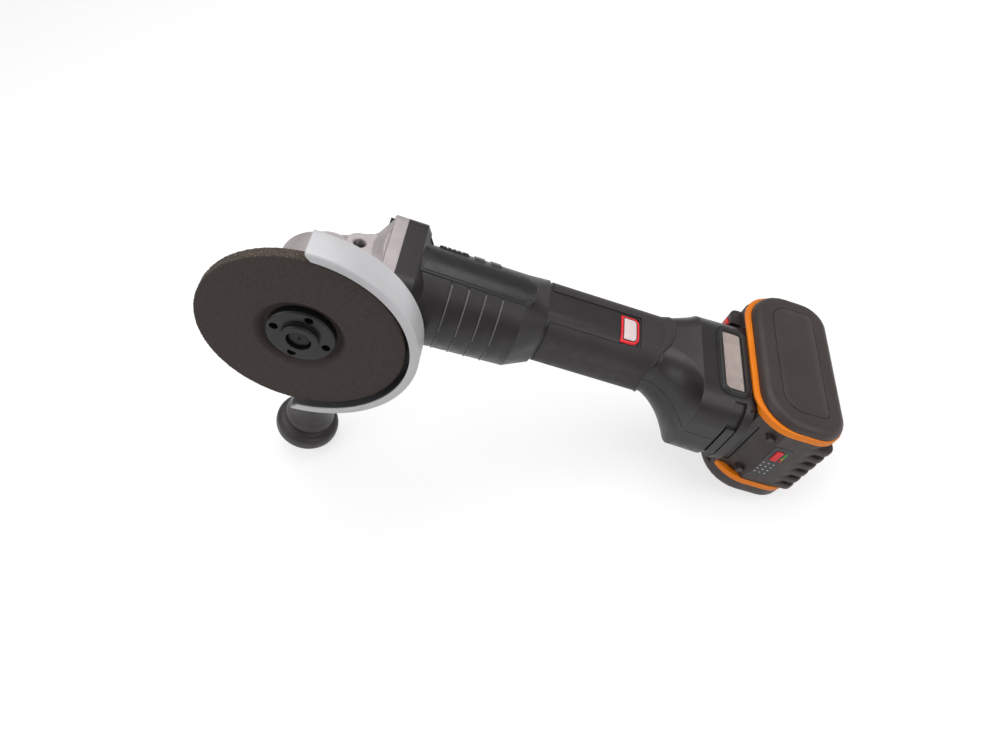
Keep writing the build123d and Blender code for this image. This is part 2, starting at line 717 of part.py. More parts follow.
def make_fan():
    disc_x = FAN_X1 - FAN_DISC_T
    half = FAN_BLADE_T / 2
    blade = block(FAN_X0, disc_x, -half, half, FAN_HUB_R - 1, FAN_R)
    shape = x_bar(FAN_R, disc_x, FAN_X1) + x_bar(FAN_HUB_R, FAN_X0, FAN_X1)
    shape += [around_motor(blade, 360 / FAN_BLADES * k) for k in range(FAN_BLADES)]
    return shape - x_bar(SHAFT_R, 0, SHAFT_END)


def make_stator():
    shape = x_bar(STATOR_R, STATOR_X0, STATOR_X1)
    shape += x_bar(STATOR_R - COIL_STEP, STATOR_X0 - COIL_L, STATOR_X1 + COIL_L)
    return shape - x_bar(STATOR_BORE_R, 0, SHAFT_END)


def make_motor_bearing(x, width, outer):
    return x_bar(outer, x, x + width) - x_bar(SHAFT_R + FIT, x - 1, x + width + 1)


# Motor housing
def housing_barrel(inset, x0, x1):
    """Tapered round body of the motor housing, cut to a length."""
    taper = loft([round_section(HOUSING_X0, HOUSING_R - inset, HOUSING_Z),
                  round_section(HOUSING_REAR_X, HOUSING_REAR_R - inset, HOUSING_REAR_Z)])
    return taper & block(x0, x1, -60, 60, -130, 10)


def housing_outside():
    half = HOUSING_FACET_HALF
    shape = collar_bar(HOUSING_X0, HOUSING_FACET_X0)
    shape += loft([x_section(HOUSING_FACET_X0, COLLAR_HALF, COLLAR_HALF, COLLAR_CORNER, MOTOR_Z),
                   x_section(HOUSING_COLLAR_X1, half, half, COLLAR_CORNER, MOTOR_Z)])
    shape += housing_barrel(0, HOUSING_X0, HOUSING_REAR_X)
    step = SEAM_STEP
    seam = x_section(HOUSING_X1, GRIP_HALF_W + step, GRIP_HALF_H + step, GRIP_CORNER + step, GRIP_Z + 1)
    shape += loft([round_section(HOUSING_REAR_X, HOUSING_REAR_R, HOUSING_REAR_Z), seam])
    return shape


def panel_prism(side):
    """Rounded outline of a side panel, carried straight out through the housing's flank."""
    middle = ((PANEL_X0 + PANEL_X1) / 2, side * 15, (PANEL_Z0 + PANEL_Z1) / 2)
    plane = Plane(origin=middle, x_dir=(1, 0, 0), z_dir=(0, side, 0))
    face = RectangleRounded(PANEL_X1 - PANEL_X0, PANEL_Z1 - PANEL_Z0, PANEL_CORNER)
    return extrude(plane * face, amount=30)


def panel_skin(proud, side):
    """Skin under one side panel, standing proud of the housing's barrel."""
    skin = housing_barrel(-proud, HOUSING_COLLAR_X1 + GAP, HOUSING_REAR_X - 0.5)
    skin -= housing_barrel(PANEL_SINK, HOUSING_COLLAR_X1 - 1, HOUSING_REAR_X)
    return skin & panel_prism(side)


def make_side_panels():
    return Compound(children=[panel_skin(PANEL_PROUD, side) for side in (-1, 1)])


def rib_groove(k):
    """Shallow groove round the disc side of the motor housing."""
    x = RIB_X0 + RIB_STEP * k
    ring = x_bar(HOUSING_R + 2, x - RIB_W / 2, x + RIB_W / 2)
    ring -= housing_barrel(RIB_DEPTH, x - RIB_W, x + RIB_W)
    return ring & block(x - 5, x + 5, -40, 40, PANEL_Z1 + 0.5, 0)


def switch_openings():
    """Pocket, slot and tunnel in the motor housing for the sliding switch and its rod."""
    half_w = SWITCH_W / 2 + GAP
    rod = ROD_HALF_W + GAP
    stem = STEM_HALF_W + GAP
    reach = SWITCH_TRAVEL + GAP
    pocket = block(SWITCH_X0 - reach, SWITCH_X0 + SWITCH_L + GAP, SWITCH_FLOOR, 45, -half_w, half_w)
    slot = block(STEM_X0 - reach, STEM_X1 + GAP, ROD_R0, SWITCH_FLOOR + 1, -stem, stem)
    tunnel = block(SWITCH_X0, HOUSING_X1 - 3, ROD_R0 - GAP, ROD_R1 + GAP, -rod, rod)
    finger = block(BULKHEAD_X0, ROD_END + 4, FINGER_R0 - GAP, ROD_R1, -rod, rod)
    return [around_motor(shape, SWITCH_ANGLE) for shape in (pocket, slot, tunnel, finger)]


def make_motor_housing():
    shape = housing_outside()
    for k in range(RIB_COUNT):
        shape -= rib_groove(k)
    front = HOUSING_X0 + HOUSING_FRONT_WALL
    shape -= x_bar(HOUSING_BORE_R, front, BULKHEAD_X0)
    shape -= x_bar(FRONT_BEARING_R + 3, HOUSING_X0 - 1, front + 1)
    shape -= x_bar(REAR_ROOM_R, BULKHEAD_X1, HOUSING_X1 + 1, 0, GRIP_Z + 2)
    shape -= x_bar(REAR_BEARING_R, REAR_BEARING_X, BULKHEAD_X1 + 1)
    shape -= x_bar(SHAFT_R + 1, BULKHEAD_X0 - 1, BULKHEAD_X1 + 1)
    for opening in switch_openings():
        shape -= opening
    for y, z in collar_corners():
        shape -= x_bar(COLLAR_SCREW_R, HOUSING_X0 - 1, COLLAR_SCREW_END + 0.5, y, z)
    for side in (-1, 1):
        shape -= panel_skin(3, side)
    return shape


# Slide switch
def make_switch_slider():
    half_w = SWITCH_W / 2
    pad = block(SWITCH_X0, SWITCH_X0 + SWITCH_L, SWITCH_FLOOR + GAP, SWITCH_TOP, -half_w, half_w)
    pad = fillet(pad.edges().filter_by(Axis.Y), SWITCH_CORNER)
    pad = chamfer(pad.faces().sort_by(Axis.Y)[-1].edges(), SWITCH_GROOVE / 2)
    for k in range(SWITCH_GROOVES):
        x = SWITCH_X0 + SWITCH_GROOVE_X + SWITCH_GROOVE_STEP * k
        pad -= block(x, x + SWITCH_GROOVE, SWITCH_TOP - SWITCH_GROOVE / 2, SWITCH_TOP + 1, -half_w, half_w)
    stem = block(STEM_X0, STEM_X1, ROD_R1, SWITCH_FLOOR + 1, -STEM_HALF_W, STEM_HALF_W)
    return around_motor(pad + stem, SWITCH_ANGLE)


def make_switch_rod():
    strip = block(STEM_X0, ROD_END, ROD_R0, ROD_R1, -ROD_HALF_W, ROD_HALF_W)
    finger = block(ROD_END - FINGER_T, ROD_END, FINGER_R0, ROD_R0 + 0.5, -ROD_HALF_W, ROD_HALF_W)
    return around_motor(strip + finger, SWITCH_ANGLE)


def make_switch_module():
    def box(x0, x1, shrink):
        half_w = MODULE_HALF_W - shrink
        half_h = MODULE_HALF_H - shrink
        return block(x0, x1, MODULE_Y - half_w, MODULE_Y + half_w, MODULE_Z - half_h, MODULE_Z + half_h)

    return box(MODULE_X0, MODULE_X1, 0) + box(MODULE_X1, MODULE_X1 + MODULE_TAB, MODULE_TAB)


# Rear grip, made as two half shells
def grip_solid(inset):
    """Rear body's outer form, or its inside when inset by the wall."""
    def grip_end(x):
        return x_section(x, GRIP_HALF_W - inset, GRIP_HALF_H - inset, GRIP_CORNER - inset, GRIP_Z)

    def tail(x, less):
        shrink = inset + less
        return x_section(x, TAIL_HALF_W - shrink, TAIL_HALF_H - shrink, TAIL_CORNER - shrink, TAIL_Z)

    waist = x_section(WAIST_X, WAIST_HALF_W - inset, WAIST_HALF_H - inset, WAIST_CORNER - inset, WAIST_Z)
    shape = loft([grip_end(GRIP_X0), grip_end(FLARE_X0)])
    shape += loft([grip_end(FLARE_X0), waist, tail(FLARE_X1, TAIL_TAPER)])
    return shape + loft([tail(FLARE_X1, TAIL_TAPER), tail(TAIL_X1, 0)])


GRIP_OUTSIDE = grip_solid(0)
GRIP_INSIDE = grip_solid(GRIP_WALL)


def half_space(side):
    """Everything on one side of the shells' parting plane."""
    return block(100, 300, 0, side * 80, -150, 40)


def grip_skin(sink, proud, x0, x1, z0, z1):
    """Thin skin over the straight part of the grip."""
    outer = x_section(x0, GRIP_HALF_W + proud, GRIP_HALF_H + proud, GRIP_CORNER + proud, GRIP_Z)
    inner = x_section(x0, GRIP_HALF_W - sink, GRIP_HALF_H - sink, GRIP_CORNER - sink, GRIP_Z)
    tube = extrude(outer, amount=x1 - x0) - extrude(inner, amount=x1 - x0)
    return tube & block(x0, x1, -60, 60, z0, z1)


def filter_prism(side, margin, y0, y1):
    """Upright rounded prism through one side of the tail."""
    width = FILTER_X1 - FILTER_X0 + 2 * margin
    height = FILTER_Z1 - FILTER_Z0 + 2 * margin
    middle = ((FILTER_X0 + FILTER_X1) / 2, side * y0, (FILTER_Z0 + FILTER_Z1) / 2)
    plane = Plane(origin=middle, x_dir=(1, 0, 0), z_dir=(0, side, 0))
    return extrude(plane * RectangleRounded(width, height, 3.0 + margin), amount=y1 - y0)


def tail_shell(outer, inner, x0, x1):
    """Part of a tube in the tail's form on its disc side, between two depths under the surface."""
    tubes = []
    for inset in (outer, inner):
        section = x_section(x0, TAIL_HALF_W - inset, TAIL_HALF_H - inset, TAIL_CORNER - inset, TAIL_Z)
        tubes.append(extrude(section, amount=x1 - x0))
    return (tubes[0] - tubes[1]) & block(x0, x1, -60, 60, LATCH_Z, 20)


def make_grip_shell(side):
    shape = GRIP_OUTSIDE - GRIP_INSIDE
    shape += block(TAIL_X1 - TAIL_WALL, TAIL_X1, -TAIL_WALL_HALF_W, TAIL_WALL_HALF_W,
                   TAIL_Z - TAIL_WALL_HALF_H, TAIL_Z + TAIL_WALL_HALF_H)
    for x, z in SHELL_SCREW_PLACES:
        shape += y_bar(POST_R, -24, 24, x, z) & GRIP_OUTSIDE
    shape += tail_shell(LATCH_DEPTH, LATCH_DEPTH + GRIP_WALL, LATCH_X0 - GRIP_WALL, LATCH_X1 + GRIP_WALL)
    shape -= tail_shell(-2, LATCH_DEPTH, LATCH_X0, LATCH_X1)
    bar = tail_shell(0, LATCH_DEPTH, LATCH_BAR_X0, LATCH_BAR_X1)
    shape += bar & block(LATCH_BAR_X0, LATCH_BAR_X1, -LATCH_BAR_Y, LATCH_BAR_Y, LATCH_Z, 0)
    shape = shape & half_space(side)
    shape -= filter_prism(side, 0, 20, 40)
    half = RAIL_NECK_HALF_W
    shape -= block(TAIL_X1 - TAIL_WALL - 1, TAIL_X1 + 1, -half, half, RAIL_Z0, RAIL_Z1)
    if side > 0:
        shape -= grip_skin(BADGE_SINK, 2, BADGE_X0, BADGE_X1, BADGE_Z0, BADGE_Z1) & half_space(side)
    for x, z in SHELL_SCREW_PLACES:
        shape -= y_bar(SHELL_SCREW_R, -40, SHELL_SCREW_END + 1, x, z)
        shape -= y_bar(SHELL_HEAD_R + GAP, -40, -SHELL_HEAD_Y, x, z)
    return shape


def make_shell_screws():
    screws = []
    for x, z in SHELL_SCREW_PLACES:
        head = y_bar(SHELL_HEAD_R, -SHELL_HEAD_Y - SHELL_HEAD_H, -SHELL_HEAD_Y, x, z)
        screws.append(y_bar(SHELL_SCREW_R, -SHELL_HEAD_Y, SHELL_SCREW_END, x, z) + head)
    return Compound(children=screws)


def make_soft_grip():
    shape = grip_skin(0, SOFT_T, SOFT_X0, SOFT_X1, -130, SOFT_Z1)
    for x, z in SHELL_SCREW_PLACES:
        shape -= y_bar(SHELL_HEAD_R + GAP, -60, 0, x, z)
    shape -= block(BADGE_X0 - GAP, BADGE_X1 + GAP, 0, 60, BADGE_Z0 - GAP, 0)
    return shape


def make_side_badge():
    return grip_skin(BADGE_SINK, BADGE_PROUD, BADGE_X0, BADGE_X1, BADGE_Z0, BADGE_Z1) & half_space(1)


def make_filter_frames():
    frames = []
    for side in (-1, 1):
        window = filter_prism(side, -FILTER_FRAME, 20, 40)
        flange = (filter_prism(side, FILTER_FLANGE, FILTER_Y1 - 1, FILTER_Y1) - window) - GRIP_OUTSIDE
        sleeve = filter_prism(side, -FIT, FILTER_Y0, FILTER_Y1) - window
        frames.append(flange + sleeve)
    return Compound(children=frames)


def make_filter_meshes():
    inside = -FILTER_FRAME - FIT
    return Compound(children=[filter_prism(side, inside, MESH_Y0, MESH_Y0 + MESH_T) for side in (-1, 1)])


# Electrics and the battery's rails
def make_control_board():
    board = block(BOARD_X0, BOARD_X1, -BOARD_HALF_W, BOARD_HALF_W, BOARD_Z - BOARD_T, BOARD_Z)
    cooler = block(COOLER_X0, COOLER_X1, -COOLER_HALF_W, COOLER_HALF_W, BOARD_Z, BOARD_Z + COOLER_H)
    return board + cooler


def make_battery_rails():
    neck = block(TAIL_X1 - TAIL_WALL, RAIL_NECK_X1, -RAIL_NECK_HALF_W, RAIL_NECK_HALF_W, RAIL_Z0, RAIL_Z1)
    foot = block(TAIL_X1, RAIL_NECK_X1, -RAIL_NECK_HALF_W, RAIL_NECK_HALF_W, RAIL_Z1, CASE_TOP)
    wings = block(RAIL_NECK_X1, RAIL_X1, -RAIL_HALF_W, RAIL_HALF_W, RAIL_Z0, CASE_TOP)
    window = block(TAIL_X1 - 5, RAIL_X1 + 2, -PLUG_HALF_W, PLUG_HALF_W, PLUG_Z0, PLUG_Z1)
    return neck + foot + wings - window - valley(RAIL_GAP)


def make_terminal_block():
    base_x = TAIL_X1 + PLUG_BASE
    shape = block(TAIL_X1 - TAIL_WALL, base_x, -PLUG_HALF_W, PLUG_HALF_W, PLUG_Z0, PLUG_Z1)
    half = BLADE_T / 2
    for y in (-BLADE_PITCH, 0, BLADE_PITCH):
        shape += block(base_x, TAIL_X1 + BLADE_REACH, y - half, y + half, PLUG_Z0 + 4, PLUG_Z1 - 6)
    return shape


# Battery pack
def pack_outline(inset, y, nose_corner):
    """Outline of the pack standing across Y, with two larger corners towards the tail."""
    plane = Plane(origin=((PACK_X0 + PACK_X1) / 2, y, PACK_Z), x_dir=(1, 0, 0), z_dir=(0, 1, 0))
    face = Rectangle(PACK_X1 - PACK_X0 - 2 * inset, 2 * (PACK_HALF_H - inset))
    face = fillet(face.vertices().group_by(Axis.X)[-1], PACK_CORNER - inset)
    nose = face.vertices().group_by(Axis.X)[0]
    return plane * fillet(nose, nose_corner - inset)


def pack_prism(inset, y0, y1, nose_corner=PACK_NOSE_CORNER):
    """Pack outline carried along Y."""
    return extrude(pack_outline(inset, min(y0, y1), nose_corner), amount=abs(y1 - y0))


def make_battery_cap(side):
    shape = pack_prism(CAP_INSET, side * BAND_Y1, side * PACK_HALF_W)
    outer = shape.faces().sort_by(Axis.Y)[-1 if side > 0 else 0]
    return fillet(outer.edges(), CAP_ROUND)


def make_battery_bands():
    bands = []
    for side in (-1, 1):
        ring = pack_prism(0, side * BAND_Y0, side * BAND_Y1)
        ring -= pack_prism(CASE_INSET + CASE_WALL, side * 20, side * 40)
        bands.append(ring - block(PACK_X0 - 5, CASE_X0 + 3, side * 20, side * BAND_LIP_Y, -130, 20))
    return Compound(children=bands)


def finger_ribs():
    """Upright grip ribs side by side on the pack's outer corner, on the disc side."""
    ribs = []
    for k in range(FINGER_RIBS):
        y = FINGER_RIB_STEP * (k - (FINGER_RIBS - 1) / 2)
        half = FINGER_RIB_W / 2
        rib = block(FINGER_RIB_X0, FINGER_RIB_X1, y - half, y + half, CASE_TOP - FINGER_RIB_DROP, CASE_TOP)
        rib = fillet(rib.edges().group_by(Axis.X)[-1].group_by(Axis.Z)[-1], FINGER_RIB_ROUND)
        ribs.append(fillet(rib.faces().sort_by(Axis.X)[-1].edges().filter_by(Axis.Z), FINGER_RIB_EDGE))
    return ribs


def valley(grow):
    """Round trough across the pack between the tail and the charge gauge."""
    return y_bar(VALLEY_R + grow, -60, 60, VALLEY_X, VALLEY_Z)


def make_battery_case():
    bulge = block(BULGE_X0, CASE_X0 + 5, -BULGE_HALF_W, BULGE_HALF_W, BULGE_Z0, BULGE_Z1)
    bulge = fillet(bulge.edges().group_by(Axis.X)[0].group_by(Axis.Z)[0], BULGE_ROUND)
    shape = pack_prism(CASE_INSET, -BAND_Y0, BAND_Y0, CASE_NOSE_CORNER)
    shape -= block(PACK_X0 - 5, CASE_X0, -40, 40, -130, 20)
    shape += bulge
    shape += finger_ribs()
    shape -= valley(0)
    shape += [z_bar(KNOB_R, KNOB_FOOT, KNOB_TOP, KNOB_X, y) for y in (-KNOB_Y, KNOB_Y)]
    hollow = pack_prism(CASE_INSET + CASE_WALL, -BAND_Y0 - 1, BAND_Y0 + 1, CASE_NOSE_CORNER)
    shape -= hollow - valley(CASE_WALL) - block(PACK_X0 - 5, CASE_X0 + CASE_FRONT_WALL, -40, 40, -130, 20)
    neck = RAIL_NECK_HALF_W + RAIL_GAP
    wing = RAIL_HALF_W + RAIL_GAP
    shape -= block(BULGE_X0 - 5, RAIL_NECK_X1, -neck, neck, RAIL_Z0 - 4.0, RAIL_Z1 + 90)
    stop = RAIL_Z0 - RAIL_GAP
    shape -= block(RAIL_NECK_X1 - RAIL_GAP, RAIL_X1 + RAIL_GAP, -wing, wing, stop, RAIL_Z1 + 90)
    half = GAUGE_HALF_Y
    shape -= block(GAUGE_X0, GAUGE_X1, -half, half, CASE_TOP - GAUGE_DEPTH, CASE_TOP + 1)
    half = RELEASE_HALF_Y
    shape -= block(BULGE_X0 - 1, BULGE_X0 + RELEASE_DEPTH, -half, half, RELEASE_Z0, RELEASE_Z1)
    return shape


def gauge_block(grow, z0, z1):
    """Block at the button's place on the charge gauge."""
    half_x = GAUGE_BUTTON_HALF_X + grow
    half_y = GAUGE_BUTTON_HALF_Y + grow
    return block(GAUGE_BUTTON_X - half_x, GAUGE_BUTTON_X + half_x, GAUGE_BUTTON_Y - half_y,
                 GAUGE_BUTTON_Y + half_y, z0, z1)


def make_gauge_panel():
    half_y = GAUGE_HALF_Y - FIT
    floor = CASE_TOP - GAUGE_DEPTH
    plate = block(GAUGE_X0 + FIT, GAUGE_X1 - FIT, -half_y, half_y, floor, CASE_TOP + GAUGE_PROUD)
    return plate - gauge_block(GAP, CASE_TOP - 3, CASE_TOP + 1)


def make_gauge_button():
    pad = gauge_block(0, CASE_TOP - GAUGE_BUTTON_SINK, CASE_TOP + GAUGE_BUTTON_PROUD)
    return chamfer(pad.faces().sort_by(Axis.Z)[-1].edges(), 0.3)


def make_release_button():
    half_y = RELEASE_HALF_Y - GAP
    floor = BULGE_X0 + RELEASE_DEPTH - RELEASE_TRAVEL - GAP
    pad = block(BULGE_X0 - RELEASE_PROUD, floor, -half_y, half_y, RELEASE_Z0 + GAP, RELEASE_Z1 - GAP)
    return chamfer(pad.faces().sort_by(Axis.X)[0].edges(), RELEASE_PROUD / 2)


def make_battery_cells():
    half = CELL_L / 2
    cells = []
    for row in range(2):
        for k in range(5):
            z = PACK_Z + CELL_PITCH * (k - 2)
            cells.append(y_bar(CELL_R, -half, half, CELL_X0 + CELL_PITCH * row, z))
    return Compound(children=cells)


# Side handle
def make_handle_grip():
    outline = Polyline([(r, y, 0) for r, y in HANDLE_PROFILE], close=True)
    shape = revolve(make_face(outline), Axis.Y, 360)
    for k in range(HANDLE_GROOVES):
        y = HANDLE_GROOVE_Y0 + HANDLE_GROOVE_STEP * k
        half = HANDLE_GROOVE_W / 2
        shape -= y_bar(30, y - half, y + half) - y_bar(HANDLE_GROOVE_R, y - 1, y + 1)
    return on_handle_axis(shape - y_bar(M8_R, 0, STUD_END), -1)


def make_handle_stud():
    shape = y_bar(M8_TAP_R, HANDLE_FACE - HANDLE_HOLE_DEPTH + 1, HANDLE_FACE)
    shape += y_bar(M8_R, HANDLE_FACE, STUD_END)
    shape += y_bar(STUD_COLLAR_R, HANDLE_FACE, HANDLE_FACE + STUD_COLLAR_T)
    return on_handle_axis(shape, -1)


PARTS = {
    "spindle": make_spindle(),
    "crown_gear": make_crown_gear(),
    "inner_flange": make_inner_flange(),
    "grinding_disc": make_disc(),
    "lock_nut": make_lock_nut(),
    "gear_housing": make_gear_housing(),
    "gear_housing_screws": make_gear_housing_screws(),
    "bearing_retainer": make_bearing_retainer(),
    "retainer_screws": make_retainer_screws(),
    "spindle_bearing": make_spindle_bearing(),
    "needle_bearing": make_needle_bearing(),
    "spindle_lock_button": make_lock_button(),
    "guard_shell": make_guard_shell(),
    "guard_clamp": make_guard_clamp(),
    "guard_clamp_screw": make_guard_clamp_screw(),
    "bevel_pinion": make_pinion(),
    "motor_shaft": make_motor_shaft(),
    "rotor_core": make_rotor_core(),
    "cooling_fan": make_fan(),
    "stator": make_stator(),
    "motor_front_bearing": make_motor_bearing(FRONT_BEARING_X, FRONT_BEARING_W, FRONT_BEARING_R),
    "motor_rear_bearing": make_motor_bearing(REAR_BEARING_X, REAR_BEARING_W, REAR_BEARING_R),
    "motor_housing": make_motor_housing(),
    "side_panels": make_side_panels(),
    "switch_slider": make_switch_slider(),
    "switch_rod": make_switch_rod(),
    "switch_module": make_switch_module(),
    "grip_shell_left": make_grip_shell(1),
    "grip_shell_right": make_grip_shell(-1),
    "shell_screws": make_shell_screws(),
    "soft_grip": make_soft_grip(),
    "side_badge": make_side_badge(),
    "filter_frames": make_filter_frames(),
    "filter_meshes": make_filter_meshes(),
    "control_board": make_control_board(),
    "battery_rails": make_battery_rails(),
    "terminal_block": make_terminal_block(),
    "battery_case": make_battery_case(),
    "battery_cap_left": make_battery_cap(1),
    "battery_cap_right": make_battery_cap(-1),
    "battery_bands": make_battery_bands(),
    "battery_cells": make_battery_cells(),
    "gauge_panel": make_gauge_panel(),
    "gauge_button": make_gauge_button(),
    "release_button": make_release_button(),
    "handle_grip": make_handle_grip(),
    "handle_stud": make_handle_stud(),
}

os.makedirs("parts", exist_ok=True)
for node, shape in PARTS.items():
    export_step(LIE_DOWN * shape, f"parts/{node}.step")
print(len(PARTS), "nodes")
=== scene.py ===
import math

import bpy
from mathutils import Matrix, Vector, noise
from mathutils.bvhtree import BVHTree


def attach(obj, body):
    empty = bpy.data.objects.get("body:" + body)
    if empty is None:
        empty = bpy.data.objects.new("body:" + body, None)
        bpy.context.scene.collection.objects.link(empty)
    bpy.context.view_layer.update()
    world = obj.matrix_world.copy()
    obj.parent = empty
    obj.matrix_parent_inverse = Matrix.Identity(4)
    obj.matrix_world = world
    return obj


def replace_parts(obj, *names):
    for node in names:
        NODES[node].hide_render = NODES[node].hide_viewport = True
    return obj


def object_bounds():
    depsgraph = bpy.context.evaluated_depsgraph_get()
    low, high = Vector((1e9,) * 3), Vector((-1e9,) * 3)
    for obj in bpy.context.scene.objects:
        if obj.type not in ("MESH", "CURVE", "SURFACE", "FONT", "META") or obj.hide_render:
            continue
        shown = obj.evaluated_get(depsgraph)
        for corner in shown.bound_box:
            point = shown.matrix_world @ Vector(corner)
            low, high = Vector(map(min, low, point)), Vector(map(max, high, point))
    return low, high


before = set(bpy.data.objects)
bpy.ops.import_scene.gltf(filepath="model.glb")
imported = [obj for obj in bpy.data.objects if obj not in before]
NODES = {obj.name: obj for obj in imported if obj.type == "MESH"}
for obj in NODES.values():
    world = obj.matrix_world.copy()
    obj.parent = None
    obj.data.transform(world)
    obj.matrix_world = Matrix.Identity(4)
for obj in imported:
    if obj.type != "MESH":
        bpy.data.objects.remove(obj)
cad_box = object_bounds()

# The drawing frame: millimetres, the disc up, +X from the gear head to the battery, handle at -Y.
# The tool lies on its side, pitched so that the handle's knob and the battery's flank rest on the floor.
LIE_PITCH = 25.7
LIE_COS = math.cos(math.radians(LIE_PITCH))
LIE_SIN = math.sin(math.radians(LIE_PITCH))

# Camera: places in metres, roll in degrees, lens and sensor in millimetres
CAMERA_AT = Vector((0.18328, -0.27812, 0.29626))
CAMERA_LOOK = Vector((-0.17814, 0.6370, -0.74993))
CAMERA_ROLL = -11.98
CAMERA_LENS = 28.79
SENSOR_WIDTH = 36.0
CLIP_START = 0.01


# Geometry helpers
SIDE_SHARE = 0.49


def to_row(point):
    """A point of the drawing frame in the row frame, in metres."""
    x, y, z = point
    return ((LIE_COS * x + LIE_SIN * y) / 1000, -z / 1000, (-LIE_SIN * x + LIE_COS * y) / 1000)


def from_row(point):
    """A point of the row frame, in metres, back in the drawing frame."""
    x, y, z = (1000 * value for value in point)
    return Vector((LIE_COS * x - LIE_SIN * z, LIE_SIN * x + LIE_COS * z, -y))


def surface_of(node):
    """Search tree over a CAD node's surface, in the drawing frame."""
    shape = NODES[node]
    points = [from_row(shape.matrix_world @ vertex.co) for vertex in shape.data.vertices]
    faces = [tuple(polygon.vertices) for polygon in shape.data.polygons]
    return BVHTree.FromPolygons(points, faces)


def drape(surface, start, inward, height):
    """Point at a height above the surface first met on the way inward."""
    hit = surface.ray_cast(Vector(start), Vector(inward))[0]
    return tuple(hit - Vector(inward) * height)


def add_piece(name, points, faces, material, body, sharp=40.0):
    """Mesh piece from drawing-frame points, riding on a body."""
    mesh = bpy.data.meshes.new(name)
    mesh.from_pydata([to_row(p) for p in points], [], faces)
    mesh.materials.append(material)
    mesh.shade_smooth()
    mesh.set_sharp_from_angle(angle=math.radians(sharp))
    piece = bpy.data.objects.new(name, mesh)
    bpy.context.scene.collection.objects.link(piece)
    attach(piece, body)
    return piece


class Build:
    """Points and faces of one mesh, gathered from several surfaces."""

    def __init__(self):
        self.points = []
        self.faces = []

    def skin(self, rings, close_ring=True, close_rows=False, caps=False):
        """Quads between rings of equal length."""
        first = len(self.points)
        size = len(rings[0])
        for ring in rings:
            self.points.extend(ring)
        rows = len(rings)
        for i in range(rows if close_rows else rows - 1):
            for j in range(size if close_ring else size - 1):
                a = first + i * size + j
                b = first + i * size + (j + 1) % size
                c = first + (i + 1) % rows * size + (j + 1) % size
                d = first + (i + 1) % rows * size + j
                self.faces.append((a, b, c, d))
        if caps:
            self.faces.append(tuple(first + j for j in reversed(range(size))))
            self.faces.append(tuple(first + (rows - 1) * size + j for j in range(size)))

    def piece(self, name, material, body, sharp=40.0):
        """The finished piece."""
        return add_piece(name, self.points, self.faces, material, body, sharp)


def rounded_corners(corners, steps=5):
    """Closed outline with every (x, y, radius) corner rounded by an arc."""
    outline = []
    count = len(corners)
    for i in range(count):
        here = Vector(corners[i][:2])
        before = Vector(corners[i - 1][:2]) - here
        after = Vector(corners[(i + 1) % count][:2]) - here
        radius = corners[i][2]
        half = before.angle(after) / 2
        reach = min(radius / math.tan(half), before.length * SIDE_SHARE, after.length * SIDE_SHARE)
        start = here + before.normalized() * reach
        end = here + after.normalized() * reach
        for k in range(steps + 1):
            t = k / steps
            outline.append(tuple((1 - t) ** 2 * start + 2 * t * (1 - t) * here + t * t * end))
    return outline


def turned(profile, segments, start=0.0, sweep=360.0, trim=None):
    """Rings of (radius, height) points about the spindle axis."""
    rings = []
    full = sweep >= 360.0
    for i in range(segments if full else segments + 1):
        t = i / segments
        ring = []
        for r, z in profile:
            inset = trim(r, z) if trim else 0.0
            angle = math.radians(start + inset + (sweep - 2 * inset) * t)
            ring.append((r * math.cos(angle), r * math.sin(angle), z))
        rings.append(ring)
    return rings


# Materials
RIDGE_PITCH = 1.2
NOISE_LOW = 0.3
NOISE_HIGH = 0.7
LEAST_ROUGHNESS = 0.05
EDGE_SAMPLES = 6
STREAK_TURNS = 70.0
STREAK_SWEEP = 900.0
STREAK_LENGTH = 260.0
STREAK_SHARE = 0.55
# Radii in metres between which the disc's face turns into its rim
RIM_BLEND = (0.0566, 0.0574)


